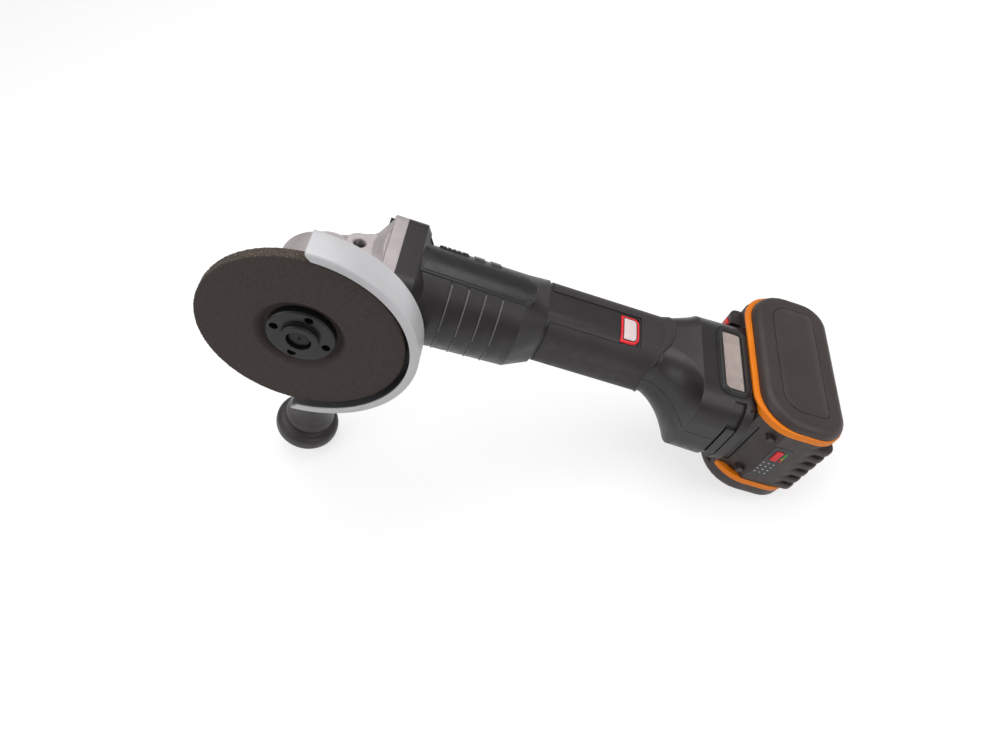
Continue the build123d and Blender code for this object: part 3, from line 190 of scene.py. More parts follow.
class Paint:
    """A principled material with the nodes that a procedural surface needs."""

    def __init__(self, name, colour, roughness, metallic=0.0):
        self.material = bpy.data.materials.new(name)
        self.material.use_nodes = True
        self.tree = self.material.node_tree
        self.shader = self.tree.nodes["Principled BSDF"]
        self.shader.inputs["Base Color"].default_value = (*colour, 1.0)
        self.shader.inputs["Roughness"].default_value = roughness
        self.shader.inputs["Metallic"].default_value = metallic
        self.colour = colour
        self.roughness = roughness
        self.place = self.tree.nodes.new("ShaderNodeTexCoord").outputs["Object"]
        self.normal = None

    def node(self, kind, **inputs):
        made = self.tree.nodes.new(kind)
        for key, value in inputs.items():
            self.feed(made.inputs[key.replace("_", " ")], value)
        return made

    def feed(self, socket, value):
        if isinstance(value, bpy.types.NodeSocket):
            self.tree.links.new(value, socket)
        else:
            socket.default_value = value

    def math(self, operation, a, b=0.0):
        made = self.tree.nodes.new("ShaderNodeMath")
        made.operation = operation
        self.feed(made.inputs[0], a)
        self.feed(made.inputs[1], b)
        return made.outputs[0]

    def noise(self, scale, detail=4.0, place=None):
        made = self.node("ShaderNodeTexNoise", Scale=scale, Detail=detail)
        self.feed(made.inputs["Vector"], place or self.place)
        return made.outputs["Fac"]

    def ramp(self, fac, stops):
        made = self.node("ShaderNodeValToRGB", Fac=fac)
        elements = made.color_ramp.elements
        while len(elements) < len(stops):
            elements.new(0.5)
        for element, (at, colour) in zip(elements, stops):
            element.position = at
            element.color = (*colour, 1.0)
        return made.outputs["Color"]

    def spread(self, fac, low, high):
        made = self.node("ShaderNodeMapRange", Value=fac)
        made.inputs["From Min"].default_value = NOISE_LOW
        made.inputs["From Max"].default_value = NOISE_HIGH
        made.inputs["To Min"].default_value = low
        made.inputs["To Max"].default_value = high
        return made.outputs["Result"]

    def mottle(self, scale, amount):
        """Slight unevenness of the colour."""
        dark = tuple(c * (1 - amount) for c in self.colour)
        light = tuple(min(1.0, c * (1 + amount)) for c in self.colour)
        blend = self.ramp(self.noise(scale), [(NOISE_LOW, dark), (NOISE_HIGH, light)])
        self.feed(self.shader.inputs["Base Color"], blend)

    def gloss(self, scale, amount):
        """Patches of more and less polish."""
        low = max(LEAST_ROUGHNESS, self.roughness - amount)
        high = self.roughness + amount
        self.feed(self.shader.inputs["Roughness"], self.spread(self.noise(scale), low, high))

    def soft_edges(self, radius):
        """Edges that catch the light as if they were rounded, radius in millimetres."""
        made = self.node("ShaderNodeBevel", Radius=radius / 1000)
        made.samples = EDGE_SAMPLES
        self.normal = made.outputs["Normal"]
        self.feed(self.shader.inputs["Normal"], self.normal)

    def bump(self, height, strength, depth):
        """Relief from a height value, depth in millimetres."""
        made = self.node("ShaderNodeBump", Strength=strength, Distance=depth / 1000, Height=height)
        if self.normal:
            self.feed(made.inputs["Normal"], self.normal)
        self.normal = made.outputs["Normal"]
        self.feed(self.shader.inputs["Normal"], self.normal)


def moulded(name, colour, roughness, grain=1500.0, strength=0.25, edge=0.5):
    """Moulded plastic with a fine eroded grain."""
    paint = Paint(name, colour, roughness)
    paint.mottle(scale=45.0, amount=0.12)
    paint.gloss(scale=160.0, amount=0.06)
    paint.soft_edges(edge)
    paint.bump(paint.noise(grain, detail=3.0), strength, depth=0.12)
    return paint.material


def soft_rubber():
    """Overmoulded grip with fine ridges across it."""
    paint = Paint("soft_rubber", (0.028, 0.0215, 0.0230), roughness=0.58)
    paint.mottle(scale=60.0, amount=0.15)
    paint.soft_edges(radius=0.5)
    split = paint.node("ShaderNodeSeparateXYZ", Vector=paint.place)
    ahead = paint.math("MULTIPLY", split.outputs["X"], LIE_COS)
    along = paint.math("SUBTRACT", ahead, paint.math("MULTIPLY", split.outputs["Z"], LIE_SIN))
    ridges = paint.math("SINE", paint.math("MULTIPLY", along, 2 * math.pi * 1000 / RIDGE_PITCH))
    grain = paint.noise(1800.0, detail=3.0)
    paint.bump(paint.math("ADD", ridges, grain), strength=0.35, depth=0.22)
    return paint.material


def cast_metal():
    """Die-cast aluminium with a fine sandy skin."""
    paint = Paint("cast_head", (0.50, 0.45, 0.45), roughness=0.5, metallic=0.55)
    paint.mottle(scale=70.0, amount=0.08)
    paint.gloss(scale=240.0, amount=0.08)
    paint.soft_edges(radius=0.9)
    paint.bump(paint.noise(900.0, detail=6.0), strength=0.25, depth=0.15)
    return paint.material


def machined(name, colour, roughness, edge=0.3, metallic=1.0):
    """Turned or plated steel with faint tool marks."""
    paint = Paint(name, colour, roughness, metallic)
    paint.mottle(scale=120.0, amount=0.1)
    paint.gloss(scale=300.0, amount=0.07)
    paint.soft_edges(edge)
    paint.bump(paint.noise(2200.0, detail=2.0), strength=0.15, depth=0.05)
    return paint.material


def guard_paint():
    """Silver stove enamel on pressed steel."""
    paint = Paint("guard_paint", (0.63, 0.62, 0.635), roughness=0.48, metallic=0.15)
    paint.mottle(scale=35.0, amount=0.06)
    paint.gloss(scale=120.0, amount=0.06)
    paint.soft_edges(radius=0.6)
    paint.bump(paint.noise(1300.0, detail=3.0), strength=0.18, depth=0.08)
    paint.shader.inputs["Coat Weight"].default_value = 0.15
    paint.shader.inputs["Coat Roughness"].default_value = 0.35
    return paint.material


def abrasive():
    """Resin-bonded grit with faint sweeping streaks, paler and coarser on the rim."""
    paint = Paint("abrasive", (0.055, 0.041, 0.037), roughness=0.85)
    split = paint.node("ShaderNodeSeparateXYZ", Vector=paint.place)
    across = split.outputs["X"]
    up = split.outputs["Z"]
    square = paint.math("ADD", paint.math("POWER", across, 2.0), paint.math("POWER", up, 2.0))
    radius = paint.math("SQRT", square)
    turn = paint.math("ARCTAN2", up, across)
    around = paint.math("MULTIPLY", turn, STREAK_TURNS)
    sweep = paint.math("ADD", around, paint.math("MULTIPLY", radius, STREAK_SWEEP))
    polar = paint.node("ShaderNodeCombineXYZ", X=paint.math("MULTIPLY", radius, STREAK_LENGTH), Y=sweep)
    streaks = paint.noise(1.0, detail=3.0, place=polar.outputs["Vector"])
    grit = paint.noise(2300.0, detail=5.0)
    swept = paint.math("MULTIPLY", streaks, STREAK_SHARE)
    blend = paint.math("ADD", swept, paint.math("MULTIPLY", grit, 1 - STREAK_SHARE))
    face = paint.ramp(blend, [(0.34, (0.039, 0.029, 0.026)), (0.5, (0.053, 0.040, 0.036)),
                              (0.66, (0.076, 0.058, 0.051))])
    coarse = paint.noise(1500.0, detail=5.0)
    rim = paint.ramp(coarse, [(0.36, (0.030, 0.022, 0.018)), (0.52, (0.068, 0.051, 0.041)),
                              (0.70, (0.21, 0.165, 0.125))])
    edge = paint.node("ShaderNodeMapRange", Value=radius)
    edge.inputs["From Min"].default_value = RIM_BLEND[0]
    edge.inputs["From Max"].default_value = RIM_BLEND[1]
    mixed = paint.tree.nodes.new("ShaderNodeMix")
    mixed.data_type = "RGBA"
    paint.feed(mixed.inputs[0], edge.outputs["Result"])
    paint.feed(mixed.inputs[6], face)
    paint.feed(mixed.inputs[7], rim)
    paint.feed(paint.shader.inputs["Base Color"], mixed.outputs[2])
    paint.bump(blend, strength=0.6, depth=0.4)
    return paint.material


HOUSING = moulded("housing_plastic", (0.0175, 0.0135, 0.0145), 0.38)
PANEL = moulded("panel_plastic", (0.011, 0.011, 0.011), 0.28, grain=2200.0, strength=0.06)
BLACK = moulded("black_plastic", (0.016, 0.0140, 0.0145), 0.38, grain=2000.0, strength=0.15)
BATTERY = moulded("battery_plastic", (0.040, 0.0280, 0.0250), 0.48, grain=1300.0, strength=0.3)
HANDLE = moulded("handle_plastic", (0.034, 0.028, 0.030), 0.45, grain=1500.0, strength=0.2)
INNER = moulded("inner_plastic", (0.1, 0.1, 0.11), 0.5)
ORANGE = moulded("orange_plastic", (1.0, 0.235, 0.0), 0.5, grain=1600.0, strength=0.15)
RED = moulded("red_plastic", (0.90, 0.020, 0.032), 0.42, grain=1800.0, strength=0.1)
GAUGE = moulded("gauge_plastic", (0.011, 0.010, 0.011), 0.36, grain=2000.0, strength=0.05)
BOARD = moulded("circuit_board", (0.03, 0.16, 0.08), 0.5)
SOFT = soft_rubber()
CAST = cast_metal()
GUARD = guard_paint()
ABRASIVE = abrasive()
STEEL = machined("ground_steel", (0.62, 0.62, 0.63), 0.3)
GEAR = machined("gear_steel", (0.42, 0.42, 0.43), 0.35)
PLATED = machined("plated_steel", (0.70, 0.69, 0.66), 0.32)
BLACK_STEEL = machined("black_steel", (0.028, 0.028, 0.030), 0.36)
LAMINATIONS = machined("laminations", (0.30, 0.26, 0.22), 0.5)
MESH_WIRE = machined("mesh_wire", (0.66, 0.57, 0.53), 0.45, edge=0.05, metallic=0.35)
NUT = machined("nut_steel", (0.017, 0.017, 0.019), 0.33, edge=0.6, metallic=0.5)
# Steel thread colour darkened to paint the shade inside the handle hole
SHADED_THREAD = machined("thread_steel_painted_shade", (0.20, 0.19, 0.185), 0.4, edge=0.1)
# Dark grey sheet colour: painted shade inside the guard
GUARD_PAINTED_SHADE = moulded("guard_inside_painted_shade", (0.15, 0.15, 0.16), 0.42)
SPINDLE = machined("spindle_steel", (0.030, 0.030, 0.032), 0.4)
PALE = moulded("pale_plastic", (0.80, 0.66, 0.66), 0.4, grain=1800.0, strength=0.1)
MARK = moulded("mark_paint", (0.66, 0.64, 0.62), 0.5, grain=1800.0, strength=0.1)
AMBER = moulded("amber_lens", (0.90, 0.48, 0.02), 0.3, grain=1800.0, strength=0.05)
GREEN = moulded("green_lens", (0.10, 0.55, 0.06), 0.3, grain=1800.0, strength=0.05)
SOFT_PLAIN = moulded("soft_plain", (0.024, 0.0190, 0.0200), 0.55, grain=2200.0, strength=0.3)
# Pale grey rib colour: painted highlight along the housing's thin ribs
RIB_HIGHLIGHT = moulded("rib_painted_highlight", (0.17, 0.16, 0.16), 0.3, grain=1800.0, strength=0.1)
SEAM = moulded("seam_shadow", (0.006, 0.006, 0.006), 0.7)
CELLS = moulded("cell_wrap", (0.12, 0.3, 0.42), 0.4)
BRASS = machined("terminal_brass", (0.60, 0.48, 0.24), 0.35)

NODE_MATERIALS = {
    "spindle": SPINDLE, "motor_shaft": STEEL, "crown_gear": GEAR, "bevel_pinion": GEAR,
    "inner_flange": PLATED, "guard_clamp": PLATED, "guard_clamp_screw": PLATED, "handle_stud": PLATED,
    "retainer_screws": PLATED, "grinding_disc": ABRASIVE, "lock_nut": NUT,
    "gear_housing_screws": BLACK_STEEL, "shell_screws": BLACK_STEEL, "gear_housing": CAST,
    "bearing_retainer": CAST, "spindle_bearing": STEEL, "needle_bearing": STEEL,
    "motor_front_bearing": STEEL, "motor_rear_bearing": STEEL, "spindle_lock_button": BLACK,
    "guard_shell": GUARD, "rotor_core": LAMINATIONS, "stator": LAMINATIONS, "cooling_fan": INNER,
    "switch_rod": INNER, "switch_module": INNER, "motor_housing": HOUSING, "side_panels": PANEL,
    "switch_slider": BLACK, "grip_shell_left": HOUSING, "grip_shell_right": HOUSING, "soft_grip": SOFT,
    "side_badge": RED, "filter_frames": BLACK, "filter_meshes": MESH_WIRE, "control_board": BOARD,
    "battery_rails": BLACK, "terminal_block": BRASS, "battery_case": BATTERY, "battery_cap_left": BATTERY,
    "battery_cap_right": BATTERY, "battery_bands": ORANGE, "battery_cells": CELLS, "gauge_panel": GAUGE,
    "gauge_button": RED, "release_button": RED, "handle_grip": HANDLE,
}
for node, material in NODE_MATERIALS.items():
    target = NODES[node]
    target.data.materials.clear()
    target.data.materials.append(material)

# Guard: pressed shell with a rolled lip
GUARD_R = 65.5
GUARD_T = 1.8
GUARD_TOP = 2.6
GUARD_PLATE = -15.0
LIP_R = 60.3
LIP_T = 1.6
GUARD_RING_R = 22.6
GUARD_RING_FOOT = -27.6
GUARD_BORE_R = 20.3
GUARD_START = -88.0
GUARD_SWEEP = 182.2
GUARD_SEGMENTS = 120
RING_SEGMENTS = 96
RING_FLANGE = 3.0
HEEL_ROUND = 3.5
FOLD_ROUND = 3.2
LIP_ROUND = 0.7
WALL_ROUND = 2.0
SMALL_ROUND = 0.4
ROOT_ROUND = 0.1
UNDER_LIP_ROUND = 0.6
RING_CREASE_ROUND = 0.2
ROOT_LAP = 0.3
LIP_CUT = 3.6
LIP_CUT_BEND = 1.6
LIP_FOLD = 0.5
LIP_SLACK = 0.1
# The dark sheet of painted shade inside the guard: thickness, edge, bend and shortening
SHADE_SHEET_T = 0.06
SHADE_SHEET_EDGE = 0.8
SHADE_SHEET_BEND = 0.6
SHADE_SHEET_SHORT = 0.1


def guard_trim(r, z):
    """The lip's inner corners are cut back, in degrees."""
    if z < GUARD_TOP - LIP_T - LIP_SLACK:
        return 0.0
    fold = GUARD_R - LIP_FOLD
    return LIP_CUT * max(0.0, (fold - r) / (fold - LIP_R)) ** LIP_CUT_BEND


def make_guard():
    low = GUARD_PLATE - GUARD_T
    inner = GUARD_R - GUARD_T
    root = GUARD_RING_R - ROOT_LAP
    flange = GUARD_RING_R + RING_FLANGE
    under_lip = GUARD_TOP - LIP_T
    cover = rounded_corners([
        (root, low, ROOT_ROUND), (GUARD_R, low, HEEL_ROUND), (GUARD_R, GUARD_TOP, FOLD_ROUND),
        (LIP_R, GUARD_TOP, LIP_ROUND), (LIP_R, under_lip, LIP_ROUND), (inner, under_lip, UNDER_LIP_ROUND),
        (inner, GUARD_PLATE, WALL_ROUND), (root, GUARD_PLATE, ROOT_ROUND)])
    ring = rounded_corners([
        (GUARD_BORE_R, GUARD_RING_FOOT, SMALL_ROUND), (GUARD_RING_R, GUARD_RING_FOOT, SMALL_ROUND),
        (GUARD_RING_R, low, RING_CREASE_ROUND), (flange, low, SMALL_ROUND),
        (flange, GUARD_PLATE, SMALL_ROUND), (GUARD_BORE_R, GUARD_PLATE, SMALL_ROUND)])
    build = Build()
    build.skin(turned(cover, GUARD_SEGMENTS, GUARD_START, GUARD_SWEEP, guard_trim), caps=True)
    build.skin(turned(ring, RING_SEGMENTS), close_rows=True)
    piece = build.piece("guard_pressing", GUARD, "guard")
    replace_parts(piece, "guard_shell")


def make_guard_painted_shade():
    """Dark sheet over the guard's inside, painted shade where the disc shadows the wall."""
    wall = GUARD_R - GUARD_T - SHADE_SHEET_T
    under_lip = GUARD_TOP - LIP_T - SHADE_SHEET_T
    floor = GUARD_PLATE + SHADE_SHEET_T
    profile = [
        (LIP_R + SHADE_SHEET_EDGE, under_lip), (wall - SHADE_SHEET_BEND, under_lip), (wall, under_lip - SHADE_SHEET_BEND),
        (wall, floor + WALL_ROUND), (wall - SHADE_SHEET_BEND, floor + SHADE_SHEET_BEND), (wall - WALL_ROUND, floor),
        (GUARD_RING_R + RING_FLANGE, floor)]
    start = GUARD_START + SHADE_SHEET_SHORT
    build = Build()
    build.skin(turned(profile, GUARD_SEGMENTS, start, GUARD_SWEEP - 2 * SHADE_SHEET_SHORT), close_ring=False)
    build.piece("guard_painted_shade", GUARD_PAINTED_SHADE, "guard", sharp=60.0)


make_guard()
make_guard_painted_shade()

# Grinding disc: gritty rim and a lightly uneven face
DISC_R = 57.5
DISC_FACE = -0.6
DISC_T = 6.4
DISC_DISH = 4.5
DISC_BORE_R = 11.1
DISH_FLOOR_R = 20.6
DISH_RIM_R = 25.0
DISH_BLEND = 1.5
DISC_RINGS = 60
DISC_SEGMENTS = 420
RIM_ROWS = 8
RIM_EDGE = 0.4
FACE_EDGE = 0.5
RIM_BAND = 0.8
GRIT_SCALES = (1.3, 3.1)
GRIT_LIFT = 0.05
GRIT_PUSH = 0.0035


def disc_height(r):
    """Height of the disc's face above its dished middle."""
    t = max(0.0, min(1.0, (r - DISH_FLOOR_R) / (DISH_RIM_R + DISH_BLEND - DISH_FLOOR_R)))
    return DISC_DISH * t * t * (3 - 2 * t)


def make_disc():
    width = DISC_R - FACE_EDGE - DISC_BORE_R
    rings = [DISC_BORE_R + width * k / DISC_RINGS for k in range(DISC_RINGS + 1)]
    floor = DISC_FACE - DISC_DISH
    profile = [(r, floor + disc_height(r)) for r in rings]
    rim = DISC_T - 2 * RIM_EDGE
    profile += [(DISC_R, DISC_FACE - RIM_EDGE - rim * k / RIM_ROWS) for k in range(RIM_ROWS + 1)]
    profile += [(r, floor - DISC_T + disc_height(r)) for r in reversed(rings)]
    rough = []
    for ring in turned(profile, DISC_SEGMENTS):
        moved = []
        for x, y, z in ring:
            r = math.hypot(x, y)
            grit = sum(noise.noise(Vector((x, y, z)) * scale) for scale in GRIT_SCALES)
            lift = GRIT_LIFT * grit if r > DISH_RIM_R else 0.0
            push = 1 + GRIT_PUSH * grit if r > DISC_R - RIM_BAND else 1.0
            moved.append((x * push, y * push, z + lift))
        rough.append(moved)
    build = Build()
    build.skin(rough, close_rows=True)
    piece = build.piece("disc_body", ABRASIVE, "spindle", sharp=60.0)
    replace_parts(piece, "grinding_disc")


make_disc()


# Spindle with a bevelled end and a centre-drilled dimple
SPINDLE_TURNING = [(0.02, 0.1), (0.9, 1.0), (1.5, 1.3), (2.3, 1.3), (5.6, 1.3), (6.0, 1.2), (6.9, 0.3),
                   (6.95, 0.0), (6.95, -16.9), (9.0, -16.9), (9.0, -30.0), (6.0, -30.0), (6.0, -61.0),
                   (5.0, -61.0), (5.0, -69.2), (4.7, -69.5), (0.02, -69.5)]
SPINDLE_SEGMENTS = 72


def make_spindle():
    build = Build()
    build.skin(turned(SPINDLE_TURNING, SPINDLE_SEGMENTS), close_ring=False, close_rows=True)
    piece = build.piece("spindle_turning", SPINDLE, "spindle", sharp=25.0)
    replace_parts(piece, "spindle")


make_spindle()


# Rounded outlines and raised plates
LEAST_CORNER = 0.3


def rounded_ring(x0, x1, z0, z1, corners, inset, steps=8):
    """Points (x, z) of an evenly inset rounded rectangle; corners run from x0 z0 by x1 z0 to x0 z1."""
    ring = []
    spots = [(x0, z0, 1, 1, 180), (x1, z0, -1, 1, 270), (x1, z1, -1, -1, 0), (x0, z1, 1, -1, 90)]
    for (x, z, sx, sz, turn), corner in zip(spots, corners):
        radius = max(corner - inset, LEAST_CORNER)
        middle = (x + sx * (inset + radius), z + sz * (inset + radius))
        for k in range(steps + 1):
            angle = math.radians(turn + 90 * k / steps)
            ring.append((middle[0] + radius * math.cos(angle), middle[1] + radius * math.sin(angle)))
    return ring


def plate_rings(outline, profile, surface):
    """Rings of a plate whose (inset, height) profile stands on a surface given as y(x, z, height)."""
    rings = []
    for inset, height in profile:
        rings.append([(x, surface(x, z, height), z) for x, z in outline(inset)])
    return rings


def add_plate(build, outline, profile, surface):
    """Plate with its middle closed by one face."""
    first = len(build.points)
    rings = plate_rings(outline, profile, surface)
    build.skin(rings)
    size = len(rings[0])
    last = first + (len(rings) - 1) * size
    build.faces.append(tuple(last + j for j in range(size)))


# Battery: orange bands and caps with a grooved face, cut back where the tail fits between them
PACK_X0 = 258.5
PACK_X1 = 316.0
PACK_Z0 = -116.8
PACK_Z1 = -7.2
PACK_CORNERS = (25.0, 18.0, 18.0, 25.0)
TAIL_ROOM_X = 262.4
TAIL_ROOM_Y = 30.2
NEAR_BAND = (27.0, 32.1)
FAR_BAND = (22.9, 26.9)
BAND_INSIDE = 4.0
BAND_EDGE = 0.4
CAP_TOP = 38.0
CAP_INSET = 0.7
NEAR_CAP_NOSE = 2.9
CAP_ROUND = 5.4
CAP_ROUND_STEP = 9
CAP_FOOT = 2.5
CAP_FACE = [(8.0, 0.0), (11.2, 0.0), (11.4, -0.15), (11.6, -0.6), (12.2, -0.6), (12.4, -0.05), (12.7, 0.1),
            (18.0, 0.1)]
STEP_GAP = 0.01


def pack_ring(inset, nose, y):
    """Outline of the pack, inset and cut back at its nose, at a distance from the middle plane."""
    ring = rounded_ring(PACK_X0 + nose, PACK_X1, PACK_Z0, PACK_Z1, PACK_CORNERS, inset)
    room = TAIL_ROOM_X if abs(y) < TAIL_ROOM_Y else PACK_X0
    return [(max(x, room), y, z) for x, z in ring]


def make_battery_bands():
    build = Build()
    for side, (y0, y1) in ((1, NEAR_BAND), (-1, FAR_BAND)):
        levels = [(BAND_INSIDE, y0), (BAND_EDGE, y0), (0.0, y0 + BAND_EDGE)]
        if y1 > TAIL_ROOM_Y:
            levels += [(0.0, TAIL_ROOM_Y - STEP_GAP), (0.0, TAIL_ROOM_Y)]
        levels += [(0.0, y1 - BAND_EDGE), (BAND_EDGE, y1), (BAND_INSIDE, y1)]
        build.skin([pack_ring(inset, 0.0, side * y) for inset, y in levels])
    piece = build.piece("battery_stripes", ORANGE, "battery", sharp=40.0)
    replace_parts(piece, "battery_bands")


def make_battery_cap(name, side, foot, nose):
    levels = [(CAP_INSET + CAP_FOOT, foot), (CAP_INSET, foot)]
    if foot < TAIL_ROOM_Y:
        levels += [(CAP_INSET, TAIL_ROOM_Y - STEP_GAP), (CAP_INSET, TAIL_ROOM_Y)]
    for tilt in range(0, 91, CAP_ROUND_STEP):
        turn = math.radians(tilt)
        inset = CAP_INSET + CAP_ROUND * (1 - math.cos(turn))
        levels.append((inset, CAP_TOP - CAP_ROUND * (1 - math.sin(turn))))
    levels += [(CAP_INSET + inset, CAP_TOP + height) for inset, height in CAP_FACE]
    rings = [pack_ring(inset, nose, side * y) for inset, y in levels]
    build = Build()
    build.skin(rings)
    size = len(rings[0])
    last = size * (len(rings) - 1)
    build.faces.append(tuple(last + k for k in range(size)))
    piece = build.piece("battery_cover_" + name, BATTERY, "battery", sharp=30.0)
    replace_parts(piece, "battery_cap_" + name)


make_battery_bands()
make_battery_cap("left", 1, NEAR_BAND[1], NEAR_CAP_NOSE)
make_battery_cap("right", -1, FAR_BAND[1], 0.0)

# Air filters: woven wire in a raised frame
FILTER_X0 = 240.5
FILTER_X1 = 256.0
FILTER_Z0 = -77.0
FILTER_Z1 = -28.5
FILTER_CORNER = 4.0
FRAME_FOOT = 26.0
WIRE_Y = 28.4
WIRE_R = 0.26
WIRE_PITCH = 0.95
WIRE_SIDES = 6
WIRE_INSET = 1.3
FRAME_PROFILE = [(-2.9, -0.6), (-2.9, 3.2), (-2.6, 3.6), (-2.2, 3.6), (-2.0, 3.3), (-1.7, 3.3), (-1.4, 3.9),
                 (-0.8, 4.3), (0.6, 4.3), (1.1, 4.0), (1.4, 3.3), (1.5, 1.6)]


def make_filter_frames():
    def outline(inset):
        return rounded_ring(FILTER_X0, FILTER_X1, FILTER_Z0, FILTER_Z1, (FILTER_CORNER,) * 4, inset)

    build = Build()
    for side in (1, -1):
        add_plate(build, outline, FRAME_PROFILE, lambda x, z, h: side * (FRAME_FOOT + h))
    piece = build.piece("filter_surrounds", BLACK, "tool", sharp=35.0)
    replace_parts(piece, "filter_frames")


def wire(build, path):
    """Thin round wire along points that lie nearly in a plane across Y."""
    rings = []
    for i, (x, y, z) in enumerate(path):
        ahead = Vector(path[min(i + 1, len(path) - 1)]) - Vector(path[max(i - 1, 0)])
        side = ahead.cross(Vector((0, 1, 0))).normalized()
        up = side.cross(ahead).normalized()
        ring = []
        for k in range(WIRE_SIDES):
            angle = 2 * math.pi * k / WIRE_SIDES
            ring.append(tuple(Vector((x, y, z)) + WIRE_R * (math.cos(angle) * side + math.sin(angle) * up)))
        rings.append(ring)
    build.skin(rings, caps=True)


def make_filter_meshes():
    build = Build()
    x0 = FILTER_X0 + WIRE_INSET
    x1 = FILTER_X1 - WIRE_INSET
    z0 = FILTER_Z0 + WIRE_INSET
    z1 = FILTER_Z1 - WIRE_INSET
    columns = int((x1 - x0) / WIRE_PITCH)
    rows = int((z1 - z0) / WIRE_PITCH)
    for side in (1, -1):
        for i in range(1, columns):
            path = []
            for j in range(2 * rows + 1):
                wave = WIRE_R * math.cos(math.pi * (j / 2 + i))
                path.append((x0 + i * WIRE_PITCH, side * (WIRE_Y + wave), z0 + j * WIRE_PITCH / 2))
            wire(build, path)
        for j in range(1, rows):
            path = []
            for i in range(2 * columns + 1):
                wave = -WIRE_R * math.cos(math.pi * (i / 2 + j))
                path.append((x0 + i * WIRE_PITCH / 2, side * (WIRE_Y + wave), z0 + j * WIRE_PITCH))
            wire(build, path)
    piece = build.piece("filter_weave", MESH_WIRE, "tool")
    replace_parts(piece, "filter_meshes")


make_filter_frames()
make_filter_meshes()

# Side panels on the motor housing's flanks
BARREL_X0 = 38.6
BARREL_X1 = 116.0
BARREL_R0 = 30.3
BARREL_R1 = 28.8
BARREL_Z0 = -58.1
BARREL_Z1 = -59.6
PANEL_X0 = 51.6
PANEL_X1 = 121.0
PANEL_Z0 = -67.6
PANEL_Z1 = -47.6
PANEL_CORNERS = (0.5, 6.0, 6.0, 0.5)
PANEL_PROFILE = [(0.0, -3.2), (0.0, 0.2), (0.25, 0.5), (1.3, 0.5), (1.45, 0.25), (1.75, 0.25), (1.9, 0.5),
                 (3.0, 0.5), (4.5, 0.5), (6.0, 0.5), (7.5, 0.5), (9.0, 0.5)]


def barrel_flank(x, z, height):
    """Distance from the middle plane to the motor housing's flank."""
    t = (x - BARREL_X0) / (BARREL_X1 - BARREL_X0)
    radius = BARREL_R0 + (BARREL_R1 - BARREL_R0) * t + height
    drop = z - (BARREL_Z0 + (BARREL_Z1 - BARREL_Z0) * t)
    return math.sqrt(radius ** 2 - drop ** 2)


def make_side_panels():
    def outline(inset):
        return rounded_ring(PANEL_X0, PANEL_X1, PANEL_Z0, PANEL_Z1, PANEL_CORNERS, inset)

    build = Build()
    for side in (1, -1):
        add_plate(build, outline, PANEL_PROFILE, lambda x, z, h: side * barrel_flank(x, z, h))
    piece = build.piece("flank_panels", PANEL, "tool", sharp=35.0)
    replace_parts(piece, "side_panels")


make_side_panels()

# Thread in the free handle hole, its steel darkened as painted shade of the hole
HANDLE_X = 16.5
HANDLE_Z = -58.0
HANDLE_CANT = 2.6
HANDLE_FACE = 25.0
THREAD_PITCH = 1.25
THREAD_LEAD = 1.3
THREAD_DEPTH = 10.6
THREAD_WALL_R = 3.46
THREAD_CREST_R = 3.02
THREAD_STEPS = 28
THREAD_FLANKS = [(THREAD_WALL_R, 0.62), (THREAD_CREST_R, 0.08), (THREAD_CREST_R, -0.08),
                 (THREAD_WALL_R, -0.62)]


def on_handle_axis(along, across, height, side):
    """Drawing-frame point from a distance along the handle's axis and two across it."""
    cant = math.radians(HANDLE_CANT)
    x = HANDLE_X - along * math.sin(cant) + across * math.cos(cant)
    y = side * (along * math.cos(cant) + across * math.sin(cant))
    return (x, y, HANDLE_Z + height)


def make_thread():
    turns = THREAD_DEPTH / THREAD_PITCH
    steps = int(turns * THREAD_STEPS)
    rings = []
    for i in range(steps + 1):
        angle = 2 * math.pi * turns * i / steps
        along = HANDLE_FACE - THREAD_LEAD - THREAD_DEPTH * i / steps
        ring = []
        for radius, shift in THREAD_FLANKS:
            across = radius * math.cos(angle)
            ring.append(on_handle_axis(along + shift, across, radius * math.sin(angle), 1))
        rings.append(ring)
    build = Build()
    build.skin(rings, caps=True)
    build.piece("handle_hole_thread", SHADED_THREAD, "tool", sharp=30.0)


make_thread()

# Side handle: a smooth turned grip with grooves and a round knob
HANDLE_OUTLINE = [(0.0, 30.0), (11.0, 30.0), (17.0, 32.0), (18.5, 36.0), (16.5, 42.0), (14.8, 52.0),
                  (15.0, 62.0), (16.3, 82.0), (16.5, 100.0), (15.6, 122.0), (14.6, 136.0), (15.4, 144.0),
                  (16.9, 150.0), (17.2, 153.5), (16.6, 156.4), (16.2, 157.8), (17.6, 158.6), (20.4, 159.6),
                  (22.0, 161.4), (22.5, 164.6), (21.8, 169.2), (17.0, 173.8), (8.0, 175.7), (0.0, 176.0)]
HANDLE_SEGMENTS = 72
HANDLE_STEPS = 10
AXIS_R = 0.02
HANDLE_GROOVES = 7
HANDLE_GROOVE_Y0 = 64.0
HANDLE_GROOVE_STEP = 9.5
HANDLE_GROOVE_W = 1.1
HANDLE_GROOVE_DEPTH = 1.0


def smooth_line(points, steps):
    """Catmull-Rom line through the points."""
    line = []
    for i in range(len(points) - 1):
        p0, p1, p2, p3 = (Vector(points[max(0, min(len(points) - 1, i + k))]) for k in (-1, 0, 1, 2))
        for k in range(steps):
            t = k / steps
            line.append(tuple(0.5 * ((2 * p1) + (p2 - p0) * t + (2 * p0 - 5 * p1 + 4 * p2 - p3) * t * t
                                     + (3 * p1 - p0 - 3 * p2 + p3) * t ** 3)))
    line.append(tuple(points[-1]))
    return line


def groove_at(y):
    """Depth of the handle's grooves at a distance along it."""
    depth = 0.0
    for k in range(HANDLE_GROOVES):
        off = abs(y - HANDLE_GROOVE_Y0 - HANDLE_GROOVE_STEP * k) / HANDLE_GROOVE_W
        depth = max(depth, HANDLE_GROOVE_DEPTH * max(0.0, 1 - off * off))
    return depth


